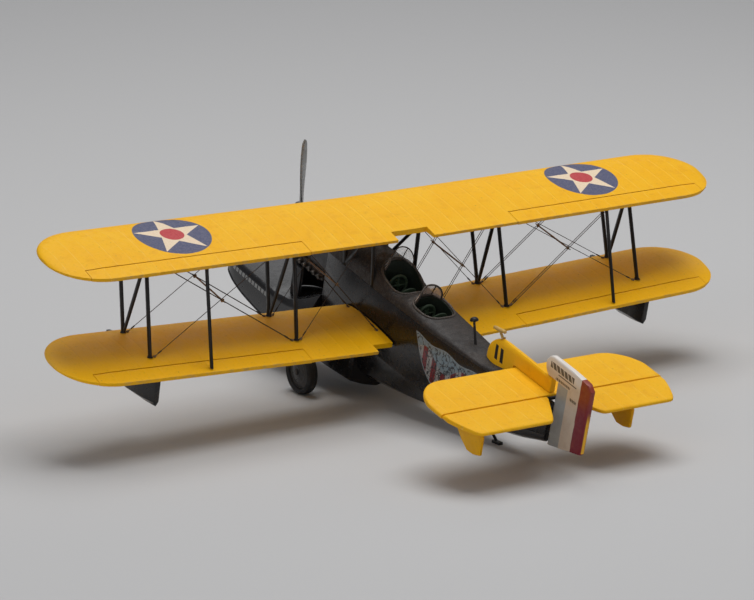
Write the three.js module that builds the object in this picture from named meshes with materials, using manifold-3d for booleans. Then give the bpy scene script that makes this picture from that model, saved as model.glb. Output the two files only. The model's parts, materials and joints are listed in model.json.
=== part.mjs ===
// Display model of an amphibian biplane with an inverted V engine, parked on its wheels and tail skid.
// Millimetres. The airframe is drawn level in its own axes, nose towards -Y, port side towards +X
// and up towards +Z, with x = 0 on its plane of symmetry. The last section pitches it nose-up about X
// until the tyres and the skid shoe stand on z = 0, and centres its box on the origin.
import * as THREE from 'three';
import { mergeVertices } from 'three/addons/utils/BufferGeometryUtils.js';
import Module from 'manifold-3d';

const wasm = await Module();
wasm.setup();

// ---------------------------------------------------------------- driving dimensions
const GAP = 0.12; // space left between pieces that touch in the real model
const PORT = 1;
const STARBOARD = -1;

const NOSE_UP = THREE.MathUtils.degToRad(14.4);

const WING = {
  halfSpan: 95.25,
  chord: 25.4,
  tipLength: 14,
  upperTrailY: -24.6,
  lowerTrailY: -16.1,
  upperZ: 38.2,
  lowerZ: 12.7,
  upperRise: Math.tan(THREE.MathUtils.degToRad(0.6)),
  lowerRise: Math.tan(THREE.MathUtils.degToRad(2.4)),
  rootX: 6.5,
  rootNotchX: 12.3,
  rootNotchDepth: 2.9,
  centreNotchX: 5.25,
  centreNotchDepth: 3.7,
};
const AILERON = { chord: 4.8, upperInner: 30.0, lowerInner: 31.2, outer: 88.5, gap: 0.35, endGap: 0.25 };
const STRUT = {
  outboardX: 71.3,
  inboardX: 30.8,
  frontY: -38,
  rearY: -24.7,
  lean: 1.1,
  chord: 1.5,
  width: 0.8,
};
const CABANE = { footX: 5.98, topX: 6.6, frontY: -44.6, rearY: -31.6, topFrontY: -46.4, topRearY: -33.3 };
const LINK = { x: 58.7, y: -17.2, clearance: 0.3 };

const FUSELAGE = { frontY: -52, sternY: 37.4, cornerZ: 22.8 };
const COWL_FRONT_Y = -73.4;
const PROP = { y: -75.6, z: 23.4, radius: 19.2, lean: THREE.MathUtils.degToRad(5) };
const COCKPITS = [
  { name: 'front', y: -26.9, halfLength: 5.1, halfWidth: 4.7, wheelY: -29.4, wheelZ: 23.4, wheelR: 2.6 },
  { name: 'rear', y: -13.0, halfLength: 4.8, halfWidth: 4.4, wheelY: -15.7, wheelZ: 22.4, wheelR: 2.1 },
];
const COCKPIT_FLOOR_Z = 12;
const TAIL = { planeZ: 26.7, thickness: 1.4, leadY: 22.4, hingeY: 37.4, halfSpan: 31.2, elevatorY: 47.5 };
const FIN = {
  leadY: 10.3,
  rearY: 36.2,
  sweep: 5.3,
  footZ: 24.35,
  topZ: 31.1,
  footHalfWidth: 1.5,
  topHalfWidth: 0.85,
  rearHalfWidth: 0.7,
};
const RUDDER_THICKNESS = 1.5;
const WHEEL = { x: 15, y: -43.5, z: -5.2, radius: 5.8, width: 3.3, rimRadius: 4.2, sides: 32 };
const GEAR_PIVOT = { x: 9.85, z: 3.2 };
const FLOAT = { x: 71.5, sternY: -19.3, bowY: -44.6 };
const SKID_Y = 19.9;
const MAST_Y = 5.4;
const WIRE = { radius: 0.13, rise: 0.55, side: 1.1 };
const SPREADER = { radius: 0.3, overhang: 1.2 };

// ---------------------------------------------------------------- materials
const paint = (color, roughness, metalness = 0) =>
  new THREE.MeshStandardMaterial({ color, roughness, metalness });
const YELLOW = () => paint(0xe9ae2b, 0.5);
const BLACK = () => paint(0x1b1a1c, 0.35);
const DECK_GREY = () => paint(0x37322f, 0.75);
const METAL = () => paint(0x7d7b76, 0.35, 0.8);
const RUBBER = () => paint(0x26272a, 0.85);
const GREEN = () => paint(0x2b3528, 0.7);
const GLASS = () => paint(0xc9c3bb, 0.08);
const THREAD = () => paint(0x4a3826, 0.5, 0.4);

// ---------------------------------------------------------------- solid helpers
const v = (x, y, z) => new THREE.Vector3(x, y, z);

function toManifold(geometry) {
  const bare = geometry.clone();
  bare.deleteAttribute('normal');
  bare.deleteAttribute('uv');
  const merged = mergeVertices(bare, 1e-4);
  const vertProperties = new Float32Array(merged.attributes.position.array);
  const triVerts = new Uint32Array(merged.index.array);
  return new wasm.Manifold(new wasm.Mesh({ numProp: 3, vertProperties, triVerts }));
}

function toGeometry(manifold) {
  const solid = manifold.getMesh();
  const geometry = new THREE.BufferGeometry();
  geometry.setAttribute('position', new THREE.BufferAttribute(new Float32Array(solid.vertProperties), 3));
  geometry.setIndex(new THREE.BufferAttribute(new Uint32Array(solid.triVerts), 1));
  geometry.computeVertexNormals();
  return geometry;
}

const join = (...geometries) =>
  toGeometry(geometries.map(toManifold).reduce((whole, part) => whole.add(part)));
const cut = (geometry, ...tools) =>
  toGeometry(tools.map(toManifold).reduce((whole, tool) => whole.subtract(tool), toManifold(geometry)));
const common = (a, b) => toGeometry(toManifold(a).intersect(toManifold(b)));

function box(x0, x1, y0, y1, z0, z1) {
  const geometry = new THREE.BoxGeometry(x1 - x0, y1 - y0, z1 - z0);
  return geometry.translate((x0 + x1) / 2, (y0 + y1) / 2, (z0 + z1) / 2);
}

// A closed skin over rings of points; every ring has the same number of points, in the same order.
function loft(rings) {
  const count = rings[0].length;
  const positions = rings.flat().flatMap((p) => [p.x, p.y, p.z]);
  const faces = [];
  for (let r = 0; r + 1 < rings.length; r += 1) {
    for (let i = 0; i < count; i += 1) {
      const a = r * count + i;
      const b = r * count + ((i + 1) % count);
      faces.push([a, b, b + count], [a, b + count, a + count]);
    }
  }
  // A cap keeps the ring's own turning sense at the far end, and the opposite one at the near end.
  const cap = (ring, first, sense) => {
    const size = new THREE.Box3().setFromPoints(ring).getSize(v(0, 0, 0)).toArray();
    const thin = size.indexOf(Math.min(...size));
    const [h, k] = [0, 1, 2].filter((axis) => axis !== thin);
    const flat = ring.map((p) => new THREE.Vector2(p.getComponent(h), p.getComponent(k)));
    const ringSense = sense * THREE.ShapeUtils.area(flat);
    THREE.ShapeUtils.triangulateShape(flat, []).forEach((corners) => {
      const same = THREE.ShapeUtils.area(corners.map((i) => flat[i])) * ringSense > 0;
      const face = corners.map((i) => i + first);
      faces.push(same ? face : face.reverse());
    });
  };
  cap(rings[0], 0, -1);
  cap(rings[rings.length - 1], (rings.length - 1) * count, 1);
  const corner = (i) => v(...positions.slice(3 * i, 3 * i + 3));
  const volume = faces.reduce(
    (sum, [a, b, c]) => sum + corner(a).dot(corner(b).cross(corner(c))), 0);
  const geometry = new THREE.BufferGeometry();
  geometry.setAttribute('position', new THREE.Float32BufferAttribute(positions, 3));
  geometry.setIndex(faces.flatMap((face) => (volume > 0 ? face : [...face].reverse())));
  geometry.computeVertexNormals();
  return geometry;
}

// A flat outline given as [u, v] pairs, thickened along Z and rounded at its edges.
function plate(outline, thickness, round, segments = 2) {
  const shape = new THREE.Shape(outline.map(([a, b]) => new THREE.Vector2(a, b)));
  const geometry = new THREE.ExtrudeGeometry(shape, {
    depth: thickness - 2 * round,
    bevelEnabled: round > 0,
    bevelThickness: round,
    bevelSize: round,
    bevelOffset: -round,
    bevelSegments: segments,
    curveSegments: 6,
  });
  return geometry.translate(0, 0, round - thickness / 2);
}

// The same plate stood on edge: its outline is read as [y, z] and its thickness runs along X.
function sidePlate(outline, thickness, round, segments = 2) {
  const geometry = plate(outline, thickness, round, segments);
  return geometry.applyMatrix4(new THREE.Matrix4().makeBasis(v(0, 1, 0), v(0, 0, 1), v(1, 0, 0)));
}

function rod(from, to, radius, sides = 6) {
  const shape = new THREE.Shape();
  shape.absarc(0, 0, radius, 0, 2 * Math.PI);
  return new THREE.ExtrudeGeometry(shape, {
    steps: 1,
    bevelEnabled: false,
    curveSegments: sides,
    extrudePath: new THREE.LineCurve3(from, to),
  });
}

// A strut of streamlined section whose ends are cut level.
function strutGeometry(foot, top, chord = STRUT.chord, width = STRUT.width) {
  const sides = 10;
  const ring = (centre) =>
    Array.from({ length: sides }, (_, i) => {
      const angle = (2 * Math.PI * i) / sides;
      return v(centre.x + (width / 2) * Math.cos(angle), centre.y + (chord / 2) * Math.sin(angle), centre.z);
    });
  return loft([ring(foot), ring(top)]);
}

const airframe = new THREE.Group();

function add(name, geometry, material) {
  const mesh = new THREE.Mesh(geometry, material);
  mesh.name = name;
  airframe.add(mesh);
}

const sideName = (side) => (side === PORT ? 'port' : 'starboard');
const mirrorX = (geometry) => {
  const mirrored = geometry.index ? geometry.toNonIndexed() : geometry.clone();
  mirrored.scale(-1, 1, 1);
  const points = mirrored.attributes.position;
  for (let i = 0; i < points.count; i += 3) {
    const second = v(0, 0, 0).fromBufferAttribute(points, i + 1);
    const third = v(0, 0, 0).fromBufferAttribute(points, i + 2);
    points.setXYZ(i + 1, third.x, third.y, third.z);
    points.setXYZ(i + 2, second.x, second.y, second.z);
  }
  mirrored.computeVertexNormals();
  return mirrored;
};
const onSide = (side, geometry) => (side === PORT ? geometry : mirrorX(geometry));

// Values between the stations of a table of [y, value, value, ...] rows.
function between(table, y) {
  const last = table.length - 1;
  const row = Math.min(Math.max(table.findIndex((entry) => entry[0] >= y), 1), last);
  const [low, high] = y >= table[last][0] ? [table[last], table[last]] : [table[row - 1], table[row]];
  const part = high[0] === low[0] ? 0 : Math.min(Math.max((y - low[0]) / (high[0] - low[0]), 0), 1);
  return low.slice(1).map((value, i) => value + part * (high[i + 1] - value));
}

// ---------------------------------------------------------------- wings
const CHORD_STOPS = [1, 0.82, 0.64, 0.46, 0.3, 0.17, 0.08, 0.025];
const upperCurve = (f) => 4 * Math.sqrt(f) * (1 - f) + 0.42 * f;
const lowerCurve = (f) => -(0.9 * Math.sqrt(f) * (1 - f) + 0.42 * f);

function wingSection(x, planeZ, rise, trailY) {
  const tip = Math.max(0, (Math.abs(x) - (WING.halfSpan - WING.tipLength)) / WING.tipLength);
  const half = (WING.chord / 2) * Math.sqrt(1 - tip ** 2.3);
  const thin = (2 * half / WING.chord) ** 0.6;
  const middle = trailY - WING.chord / 2;
  const z = planeZ + Math.abs(x) * rise;
  const point = (f, height) => v(x, middle - half + 2 * half * f, z + thin * height);
  const over = CHORD_STOPS.map((f) => point(f, upperCurve(f)));
  const under = [...CHORD_STOPS].reverse().map((f) => point(f, lowerCurve(f)));
  return [...over, point(0, 0), ...under];
}

const TIP_STOPS = [0, 0.25, 0.45, 0.62, 0.76, 0.87, 0.95, 0.99];
const tipStations = TIP_STOPS.map((t) => WING.halfSpan - WING.tipLength * (1 - t));

const wingTop = (wing, x, y) => {
  const f = Math.min(Math.max((y - wing.trailY + WING.chord) / WING.chord, 0), 1);
  return wing.planeZ + Math.abs(x) * wing.rise + upperCurve(f);
};
const wingBottom = (wing, x, y) => {
  const f = Math.min(Math.max((y - wing.trailY + WING.chord) / WING.chord, 0), 1);
  return wing.planeZ + Math.abs(x) * wing.rise + lowerCurve(f);
};
const UPPER = { planeZ: WING.upperZ, rise: WING.upperRise, trailY: WING.upperTrailY };
const LOWER = { planeZ: WING.lowerZ, rise: WING.lowerRise, trailY: WING.lowerTrailY };

const wingLoft = (wing, stations) =>
  loft(stations.map((x) => wingSection(x, wing.planeZ, wing.rise, wing.trailY)));

// The block that an aileron's opening, or the aileron itself when it is inset, takes out of a wing.
function aileronBlock(wing, inner, frontGap = 0, endGap = 0) {
  return box(inner + endGap, AILERON.outer - endGap, wing.trailY - AILERON.chord + frontGap,
    wing.trailY + 5, wing.planeZ - 6, wing.planeZ + 12);
}

function addWings() {
  const upperWhole = wingLoft(UPPER, [...tipStations.map((x) => -x).reverse(), 0, ...tipStations]);
  const lowerWhole = wingLoft(LOWER, [WING.rootX, ...tipStations]);
  const upperBay = aileronBlock(UPPER, AILERON.upperInner);
  const lowerBay = aileronBlock(LOWER, AILERON.lowerInner);
  const centreNotch = box(-WING.centreNotchX, WING.centreNotchX,
    UPPER.trailY - WING.centreNotchDepth, UPPER.trailY + 5, 30, 50);
  const rootNotch = box(0, WING.rootNotchX, LOWER.trailY - WING.rootNotchDepth, LOWER.trailY + 5, 0, 30);
  add('upper_wing', cut(upperWhole, upperBay, mirrorX(upperBay), centreNotch), YELLOW());

  const bladeFor = (whole, wing, inner) =>
    common(whole, aileronBlock(wing, inner, AILERON.gap, AILERON.endGap));
  for (const side of [PORT, STARBOARD]) {
    add(`lower_wing_${sideName(side)}`, onSide(side, cut(lowerWhole, lowerBay, rootNotch)), YELLOW());
    add(`aileron_upper_${sideName(side)}`,
      onSide(side, bladeFor(upperWhole, UPPER, AILERON.upperInner)), YELLOW());
    add(`aileron_lower_${sideName(side)}`,
      onSide(side, bladeFor(lowerWhole, LOWER, AILERON.lowerInner)), YELLOW());
  }
}

// ---------------------------------------------------------------- struts between the wings
const staggerY = WING.upperTrailY - WING.lowerTrailY;

function strutEnds(x, y) {
  const half = STRUT.chord / 2;
  const footZ = Math.max(wingTop(LOWER, x, y - half), wingTop(LOWER, x, y + half)) + GAP;
  const topX = x - STRUT.lean;
  const topY = y + staggerY;
  const topZ = Math.min(wingBottom(UPPER, topX, topY - half), wingBottom(UPPER, topX, topY + half)) - GAP;
  return { foot: v(x, y, footZ), top: v(topX, topY, topZ) };
}

function addInterplaneStruts() {
  const bays = { outboard: STRUT.outboardX, inboard: STRUT.inboardX };
  for (const side of [PORT, STARBOARD]) {
    for (const [bay, x] of Object.entries(bays)) {
      const front = strutEnds(x, STRUT.frontY);
      const rear = strutEnds(x, STRUT.rearY);
      const name = (place) => `strut_${bay}_${place}_${sideName(side)}`;
      add(name('front'), onSide(side, strutGeometry(front.foot, front.top)), BLACK());
      add(name('rear'), onSide(side, strutGeometry(rear.foot, rear.top)), BLACK());
      const setback = 1.9;
      const foot = front.foot.clone().add(v(0, setback, 0));
      const top = rear.top.clone().add(v(0, -setback, 0));
      foot.z = wingTop(LOWER, x, foot.y) + 2 * GAP;
      top.z = wingBottom(UPPER, top.x, top.y) - 2 * GAP;
      add(name('diagonal'), onSide(side, strutGeometry(foot, top, 1.2, 0.7)), BLACK());
    }
  }
}

function addCabanes() {
  const footZ = FUSELAGE.cornerZ + GAP;
  const topZ = (y) => wingBottom(UPPER, CABANE.topX, y) - GAP;
  const rear = strutGeometry(v(CABANE.footX, CABANE.rearY, footZ),
    v(CABANE.topX, CABANE.topRearY, topZ(CABANE.topRearY) - GAP));
  const front = strutGeometry(v(CABANE.footX, CABANE.frontY, footZ),
    v(CABANE.topX, CABANE.topFrontY, topZ(CABANE.topFrontY) - GAP));
  const diagonal = strutGeometry(v(CABANE.footX, CABANE.frontY + 0.6, footZ + 0.6),
    v(CABANE.topX, CABANE.topRearY - 0.4, topZ(CABANE.topRearY) - 0.8), 1.2, 0.6);
  for (const side of [PORT, STARBOARD]) {
    add(`cabane_${sideName(side)}`, onSide(side, join(rear, front, diagonal)), BLACK());
  }
}

function addAileronLinks() {
  const foot = v(LINK.x, LINK.y, wingTop(LOWER, LINK.x, LINK.y) + LINK.clearance);
  const topY = LINK.y + staggerY;
  const top = v(LINK.x - 0.6, topY, wingBottom(UPPER, LINK.x, topY) - LINK.clearance);
  const geometry = strutGeometry(foot, top, 1.1, 0.8);
  for (const side of [PORT, STARBOARD]) {
    add(`aileron_link_${sideName(side)}`, onSide(side, geometry), BLACK());
  }
}

// ---------------------------------------------------------------- bracing wires
// One bay: a flying pair and a landing pair cross at a spreader that runs fore and aft.
function bayWires(innerFoot, innerTop, outerFoot, outerTop) {
  const planes = [STRUT.frontY, STRUT.rearY];
  const middles = [];
  const parts = [];
  for (const y of planes) {
    const topY = y + staggerY;
    const ends = [
      [v(innerFoot, y, wingTop(LOWER, innerFoot, y) + WIRE.rise), v(outerTop, topY, 0)],
      [v(outerFoot, y, wingTop(LOWER, outerFoot, y) + WIRE.rise), v(innerTop, topY, 0)],
    ];
    ends.forEach(([, top]) => {
      top.z = wingBottom(UPPER, top.x, top.y) - WIRE.rise;
    });
    const [[a, b], [c, d]] = ends;
    const part = (c.x - a.x) / (b.x - a.x - (d.x - c.x));
    const middle = a.clone().lerp(b, part).add(c.clone().lerp(d, part)).multiplyScalar(0.5);
    middles.push(middle);
    [a, b, c, d].forEach((end) => {
      parts.push(rod(middle.clone().lerp(end, -0.01), end, WIRE.radius, 3));
    });
  }
  const along = middles[1].clone().sub(middles[0]).normalize();
  const [front, rear] = middles.map((middle, i) =>
    middle.clone().addScaledVector(along, (i === 0 ? -1 : 1) * SPREADER.overhang));
  parts.push(rod(front, rear, SPREADER.radius, 4));
  return join(...parts);
}

function addRigging() {
  const outer = bayWires(STRUT.inboardX + WIRE.side, STRUT.inboardX - STRUT.lean + WIRE.side,
    STRUT.outboardX - WIRE.side, STRUT.outboardX - STRUT.lean - WIRE.side);
  const inner = bayWires(WING.rootX + WIRE.side, CABANE.topX + WIRE.side,
    STRUT.inboardX - WIRE.side, STRUT.inboardX - STRUT.lean - WIRE.side);
  for (const side of [PORT, STARBOARD]) {
    add(`rigging_outboard_${sideName(side)}`, onSide(side, outer), THREAD());
    add(`rigging_inboard_${sideName(side)}`, onSide(side, inner), THREAD());
  }
}

// ---------------------------------------------------------------- hull and fuselage
// Columns: y, half width and z of the deck, of its shoulder and of the chine, then the keel z.
const FOREBODY = [
  [-96.8, 1.2, 1.5, 1.6, 1.1, 1.6, 0.6, -0.1],
  [-96.2, 3.6, 2.1, 4.0, 1.6, 3.9, 0.0, -1.5],
  [-94.8, 6.0, 2.6, 6.5, 2.0, 6.6, -0.6, -2.7],
  [-92.0, 7.6, 2.9, 8.4, 2.2, 8.6, -1.5, -4.2],
  [-88.0, 8.1, 2.9, 8.8, 2.2, 9.1, -2.8, -5.5],
  [-82.0, 8.2, 2.9, 8.9, 2.2, 9.2, -4.0, -6.5],
  [-73.0, 8.2, 2.9, 8.9, 2.2, 9.2, -4.8, -7.1],
  [-66.0, 8.0, 3.7, 8.9, 2.8, 9.2, -4.8, -7.2],
  [-63.6, 7.8, 4.2, 8.9, 3.1, 9.2, -4.7, -7.2],
  [-59.0, 7.0, 6.4, 8.9, 4.4, 9.2, -4.6, -7.1],
  [-52.4, 6.3, 10.6, 8.9, 6.2, 9.2, -4.4, -7.0],
  [-52.3, 6.3, 6.9, 8.8, 6.2, 9.2, -4.4, -7.0],
  [-44.0, 6.3, 6.9, 8.8, 6.0, 9.0, -4.0, -6.6],
  [-32.05, 6.3, 6.9, 7.9, 5.6, 8.3, -3.1, -5.8],
];
// Columns: as above; the shoulder is halfway down the side and the chine is a soft fold.
const AFTERBODY = [
  [-31.95, 6.2, 6.95, 6.0, 3.2, 5.6, -0.6, -4.6],
  [-14.0, 5.9, 6.95, 5.4, 4.4, 4.5, 1.9, -0.4],
  [-8.0, 5.7, 6.95, 5.0, 5.0, 4.0, 3.0, 1.2],
  [10.0, 4.4, 10.6, 3.8, 9.1, 2.9, 7.6, 6.2],
  [26.0, 2.7, 14.2, 2.3, 13.0, 1.7, 11.8, 10.7],
  [37.4, 0.9, 17.0, 0.95, 16.4, 0.8, 15.8, 15.1],
];

function hullRing([y, topX, topZ, shoulderX, shoulderZ, chineX, chineZ, keelZ]) {
  const port = [v(topX, y, topZ), v(shoulderX, y, shoulderZ), v(chineX, y, chineZ),
    v(chineX * 0.5, y, chineZ + (keelZ - chineZ) * 0.62)];
  const starboard = port.map((p) => v(-p.x, p.y, p.z)).reverse();
  return [v(0, y, topZ + 0.1), ...port, v(0, y, keelZ), ...starboard];
}

// Columns: y, half width, corner z, bottom z, deck crown z.
const BODY = [
  [-52.0, 6.2, 22.8, 7.1, 28.0],
  [-40.0, 6.2, 22.8, 7.1, 29.0],
  [-32.5, 6.2, 22.8, 7.1, 29.4],
  [-22.0, 6.1, 22.8, 7.1, 25.0],
  [-20.5, 6.1, 22.8, 7.1, 25.4],
  [-18.2, 6.0, 22.8, 7.1, 26.2],
  [-8.0, 5.7, 22.8, 7.1, 24.9],
  [6.0, 4.7, 22.9, 9.95, 24.4],
  [12.0, 4.2, 23.0, 11.2, 24.2],
  [22.0, 3.2, 23.3, 13.45, 25.3],
  [37.4, 0.9, 24.1, 17.15, 25.35],
];

const bodyStations = (y0, y1) => [y0, ...BODY.map((row) => row[0]).filter((y) => y > y0 && y < y1), y1];

function fuselageRing(y) {
  const [w, cornerZ, bottomZ] = between(BODY, y);
  return [v(-w, y, bottomZ), v(w, y, bottomZ), v(w, y, cornerZ), v(-w, y, cornerZ)];
}

// The arched deck that sits on the fuselage corners; grow thickens it evenly.
function deckRing(y, grow = 0) {
  const [bodyWidth, cornerZ, , crownZ] = between(BODY, y);
  const w = 0.88 * bodyWidth;
  const base = cornerZ + GAP - grow;
  const arch = 10;
  const points = [v(w + grow, y, base), v(-w - grow, y, base)];
  for (let i = 0; i <= arch; i += 1) {
    const angle = Math.PI - (Math.PI * i) / arch;
    const rise = Math.max(Math.sin(angle), 0) ** 0.6;
    points.push(v((w + grow) * Math.cos(angle), y, base + 0.45 + (crownZ - base - 0.45 + grow) * rise));
  }
  return points;
}

// An egg-shaped well, wider at its front.
function cockpitWell({ y, halfLength, halfWidth }, bottomZ, topZ, grow = 0) {
  const shape = new THREE.Shape();
  const [length, width] = [halfLength + grow, halfWidth + grow];
  const points = Array.from({ length: 24 }, (_, i) => {
    const angle = (2 * Math.PI * i) / 24;
    const across = Math.sign(Math.cos(angle)) * Math.abs(Math.cos(angle)) ** 0.7;
    const along = Math.sign(Math.sin(angle)) * Math.abs(Math.sin(angle)) ** 0.7;
    return new THREE.Vector2(width * across * (1 - 0.1 * along), y + length * along);
  });
  shape.setFromPoints(points);
  const geometry = new THREE.ExtrudeGeometry(shape, { depth: topZ - bottomZ, bevelEnabled: false });
  return geometry.translate(0, 0, bottomZ);
}

function addHull() {
  add('hull', loft([...FOREBODY, ...AFTERBODY].map(hullRing)), BLACK());
  const slab = loft(bodyStations(FUSELAGE.frontY, FUSELAGE.sternY).map(fuselageRing));
  const wells = COCKPITS.map((cockpit) => cockpitWell(cockpit, COCKPIT_FLOOR_Z, 40));
  add('fuselage', cut(slab, ...wells), BLACK());
  const arch = loft(bodyStations(FUSELAGE.frontY, FUSELAGE.sternY).map((y) => deckRing(y)));
  add('turtledeck', cut(arch, ...wells), DECK_GREY());
}

// ---------------------------------------------------------------- engine and propeller
// Columns: y, half width, bottom z, top z.
const COWL_STATIONS = [
  [-73.4, 3.0, 20.0, 25.7],
  [-71.5, 4.6, 16.6, 26.5],
  [-66.0, 5.5, 14.9, 27.1],
  [-58.0, 5.9, 14.6, 27.7],
  [-52.2, 6.1, 14.6, 28.0],
];

function cowlRing([y, w, bottomZ, topZ]) {
  const sides = 20;
  const middle = (bottomZ + topZ) / 2;
  return Array.from({ length: sides }, (_, i) => {
    const angle = (2 * Math.PI * (i + 0.5)) / sides;
    const bulge = (value) => Math.sign(value) * Math.abs(value) ** 0.62;
    return v(w * bulge(Math.cos(angle)), y, middle + ((topZ - bottomZ) / 2) * bulge(Math.sin(angle)));
  });
}

function addEngine() {
  add('engine_cowl', loft(COWL_STATIONS.map(cowlRing)), DECK_GREY());

  const cylinders = 6;
  const pitch = 2.3;
  const bank = [box(2.2, 4.1, -69.5, -56, 12.9, 14.45)];
  for (let i = 0; i < cylinders; i += 1) {
    const y = -68.4 + i * pitch;
    bank.push(rod(v(3.8, y, 13.6), v(5.0, y, 13.2), 0.55, 3));
    bank.push(box(2.5, 3.8, y - 0.7, y + 0.7, 12.2, 13.1));
  }
  for (const side of [PORT, STARBOARD]) {
    add(`cylinder_bank_${sideName(side)}`, onSide(side, join(...bank)), METAL());
  }

  const outer = 5.1;
  const inner = 4.3;
  const half = new THREE.Shape();
  half.absarc(0, 0, outer, 0, Math.PI, true);
  half.lineTo(-outer, 2.2);
  half.lineTo(-inner, 2.2);
  half.lineTo(-inner, 0);
  half.absarc(0, 0, inner, Math.PI, 0, false);
  half.lineTo(inner, 2.2);
  half.lineTo(outer, 2.2);
  half.lineTo(outer, 0);
  const height = 9.0;
  const shell = new THREE.ExtrudeGeometry(half, { depth: height, bevelEnabled: false, curveSegments: 10 });
  shell.translate(0, -66.4, 2.9);
  const raised = FOREBODY.map((row) => row.map((value, i) => (i === 2 ? value + GAP : value)));
  const deckTop = loft(raised.map(hullRing));
  add('radiator', cut(shell, deckTop), BLACK());
}

function bladeRing(r) {
  const part = r / PROP.radius;
  const width = 1.8 * Math.sin(Math.PI * (0.14 + 0.76 * part)) ** 0.7;
  const pitch = THREE.MathUtils.degToRad(56 - 38 * part);
  const thick = 0.55 - 0.32 * part;
  const sides = 8;
  return Array.from({ length: sides }, (_, i) => {
    const angle = (2 * Math.PI * i) / sides;
    const a = width * Math.cos(angle);
    const b = thick * Math.sin(angle);
    return v(a * Math.cos(pitch) - b * Math.sin(pitch), a * Math.sin(pitch) + b * Math.cos(pitch), r);
  });
}

function addPropeller() {
  const radii = [0.4, 2.4, 5, 8, 11, 14, 16.6, 18.3, PROP.radius];
  const blade = loft(radii.map(bladeRing));
  const opposite = blade.clone().rotateY(Math.PI);
  const hub = new THREE.CylinderGeometry(1.35, 1.35, 2.2, 16);
  const place = new THREE.Matrix4().makeTranslation(0, PROP.y, PROP.z)
    .multiply(new THREE.Matrix4().makeRotationY(PROP.lean));
  const nut = new THREE.LatheGeometry([[0, -2.45], [0.5, -2.3], [0.9, -1.9], [1.1, -0.9], [0, -0.9]]
    .map(([r, y]) => new THREE.Vector2(r, y)), 16);
  add('propeller', join(blade, opposite, hub, nut).applyMatrix4(place), METAL());
  const shaft = new THREE.CylinderGeometry(0.8, 1.0, 0.9, 16);
  add('propeller_shaft', shaft.translate(0, COWL_FRONT_Y - 0.45 - GAP, PROP.z), METAL());
}

// ---------------------------------------------------------------- cockpits
function addCockpits() {
  const inflated = loft(bodyStations(-40, 20).map((y) => deckRing(y, GAP)));
  COCKPITS.forEach((cockpit) => {
    const { name, y, halfLength, halfWidth, wheelY, wheelZ, wheelR } = cockpit;
    const seat = join(
      box(-3.0, 3.0, y - 0.6, y + 2.9, 15.2, 17.2),
      box(-3.0, 3.0, y + 2.2, y + 3.2, 15.2, 21.4),
      box(-1.0, 1.0, y, y + 2, COCKPIT_FLOOR_Z + GAP, 16),
    );
    add(`seat_${name}`, seat, GREEN());

    const rim = new THREE.TorusGeometry(wheelR, 0.24, 6, 20);
    const spokes = [0, 1].map((i) => {
      const turn = i * Math.PI / 2;
      const arm = v(Math.cos(turn), Math.sin(turn), 0).multiplyScalar(wheelR);
      return rod(arm, arm.clone().negate(), 0.17, 3);
    });
    const boss = new THREE.CylinderGeometry(0.55, 0.55, 0.6, 12).rotateX(Math.PI / 2);
    const wheel = join(rim, ...spokes, boss).rotateX(Math.PI / 2);
    add(`control_wheel_${name}`, wheel.translate(0, wheelY, wheelZ), GREEN());
    const radius = halfWidth - 0.4;
    const arc = new THREE.Shape();
    const spread = THREE.MathUtils.degToRad(64);
    const start = -Math.PI / 2 - spread;
    const end = -Math.PI / 2 + spread;
    arc.absarc(0, 0, radius, start, end, false);
    arc.absarc(0, 0, radius - 0.4, end, start, true);
    const glass = new THREE.ExtrudeGeometry(arc, { depth: 9, bevelEnabled: false, curveSegments: 8 });
    glass.translate(0, 0, -5).rotateX(THREE.MathUtils.degToRad(-24));
    const baseY = y - halfLength + radius - 0.6;
    const [, , , crown] = between(BODY, y - halfLength);
    glass.translate(0, baseY, crown - 2.4);
    const trimmed = cut(glass, inflated, box(-20, 20, -80, 40, 0, 24.2),
      box(-20, 20, y - halfLength + 3.4, 60, 0, 60));
    add(`windscreen_${name}`, trimmed, GLASS());
  });
}

// ---------------------------------------------------------------- tail
function arcPoints(centreX, centreY, radiusX, radiusY, from, to, steps) {
  return Array.from({ length: steps + 1 }, (_, i) => {
    const angle = THREE.MathUtils.degToRad(from + ((to - from) * i) / steps);
    return [centreX + radiusX * Math.cos(angle), centreY + radiusY * Math.sin(angle)];
  });
}

// A level section of the fin: round at its nose, thinner towards its rear edge and its top.
function finRing(level) {
  const leadY = FIN.leadY + FIN.sweep * level ** 3;
  const z = FIN.footZ + (FIN.topZ - FIN.footZ) * level;
  const crown = Math.sqrt(1 - Math.max(0, (level - 0.8) / 0.2) ** 2 * 0.8);
  const half = crown * (FIN.footHalfWidth + (FIN.topHalfWidth - FIN.footHalfWidth) * level);
  const rearHalf = Math.min(half, FIN.rearHalfWidth);
  const port = [0.012, 0.05, 0.11, 0.2, 0.6, 1].map((s) => {
    const nose = Math.sqrt(1 - (1 - Math.min(s / 0.2, 1)) ** 2);
    const taper = 1 - (1 - rearHalf / half) * Math.max(0, (s - 0.2) / 0.8);
    return v(half * nose * taper, leadY + (FIN.rearY - leadY) * s, z);
  });
  const starboard = port.map((p) => v(-p.x, p.y, p.z)).reverse();
  return [v(0, leadY, z), ...port, ...starboard];
}

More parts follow.
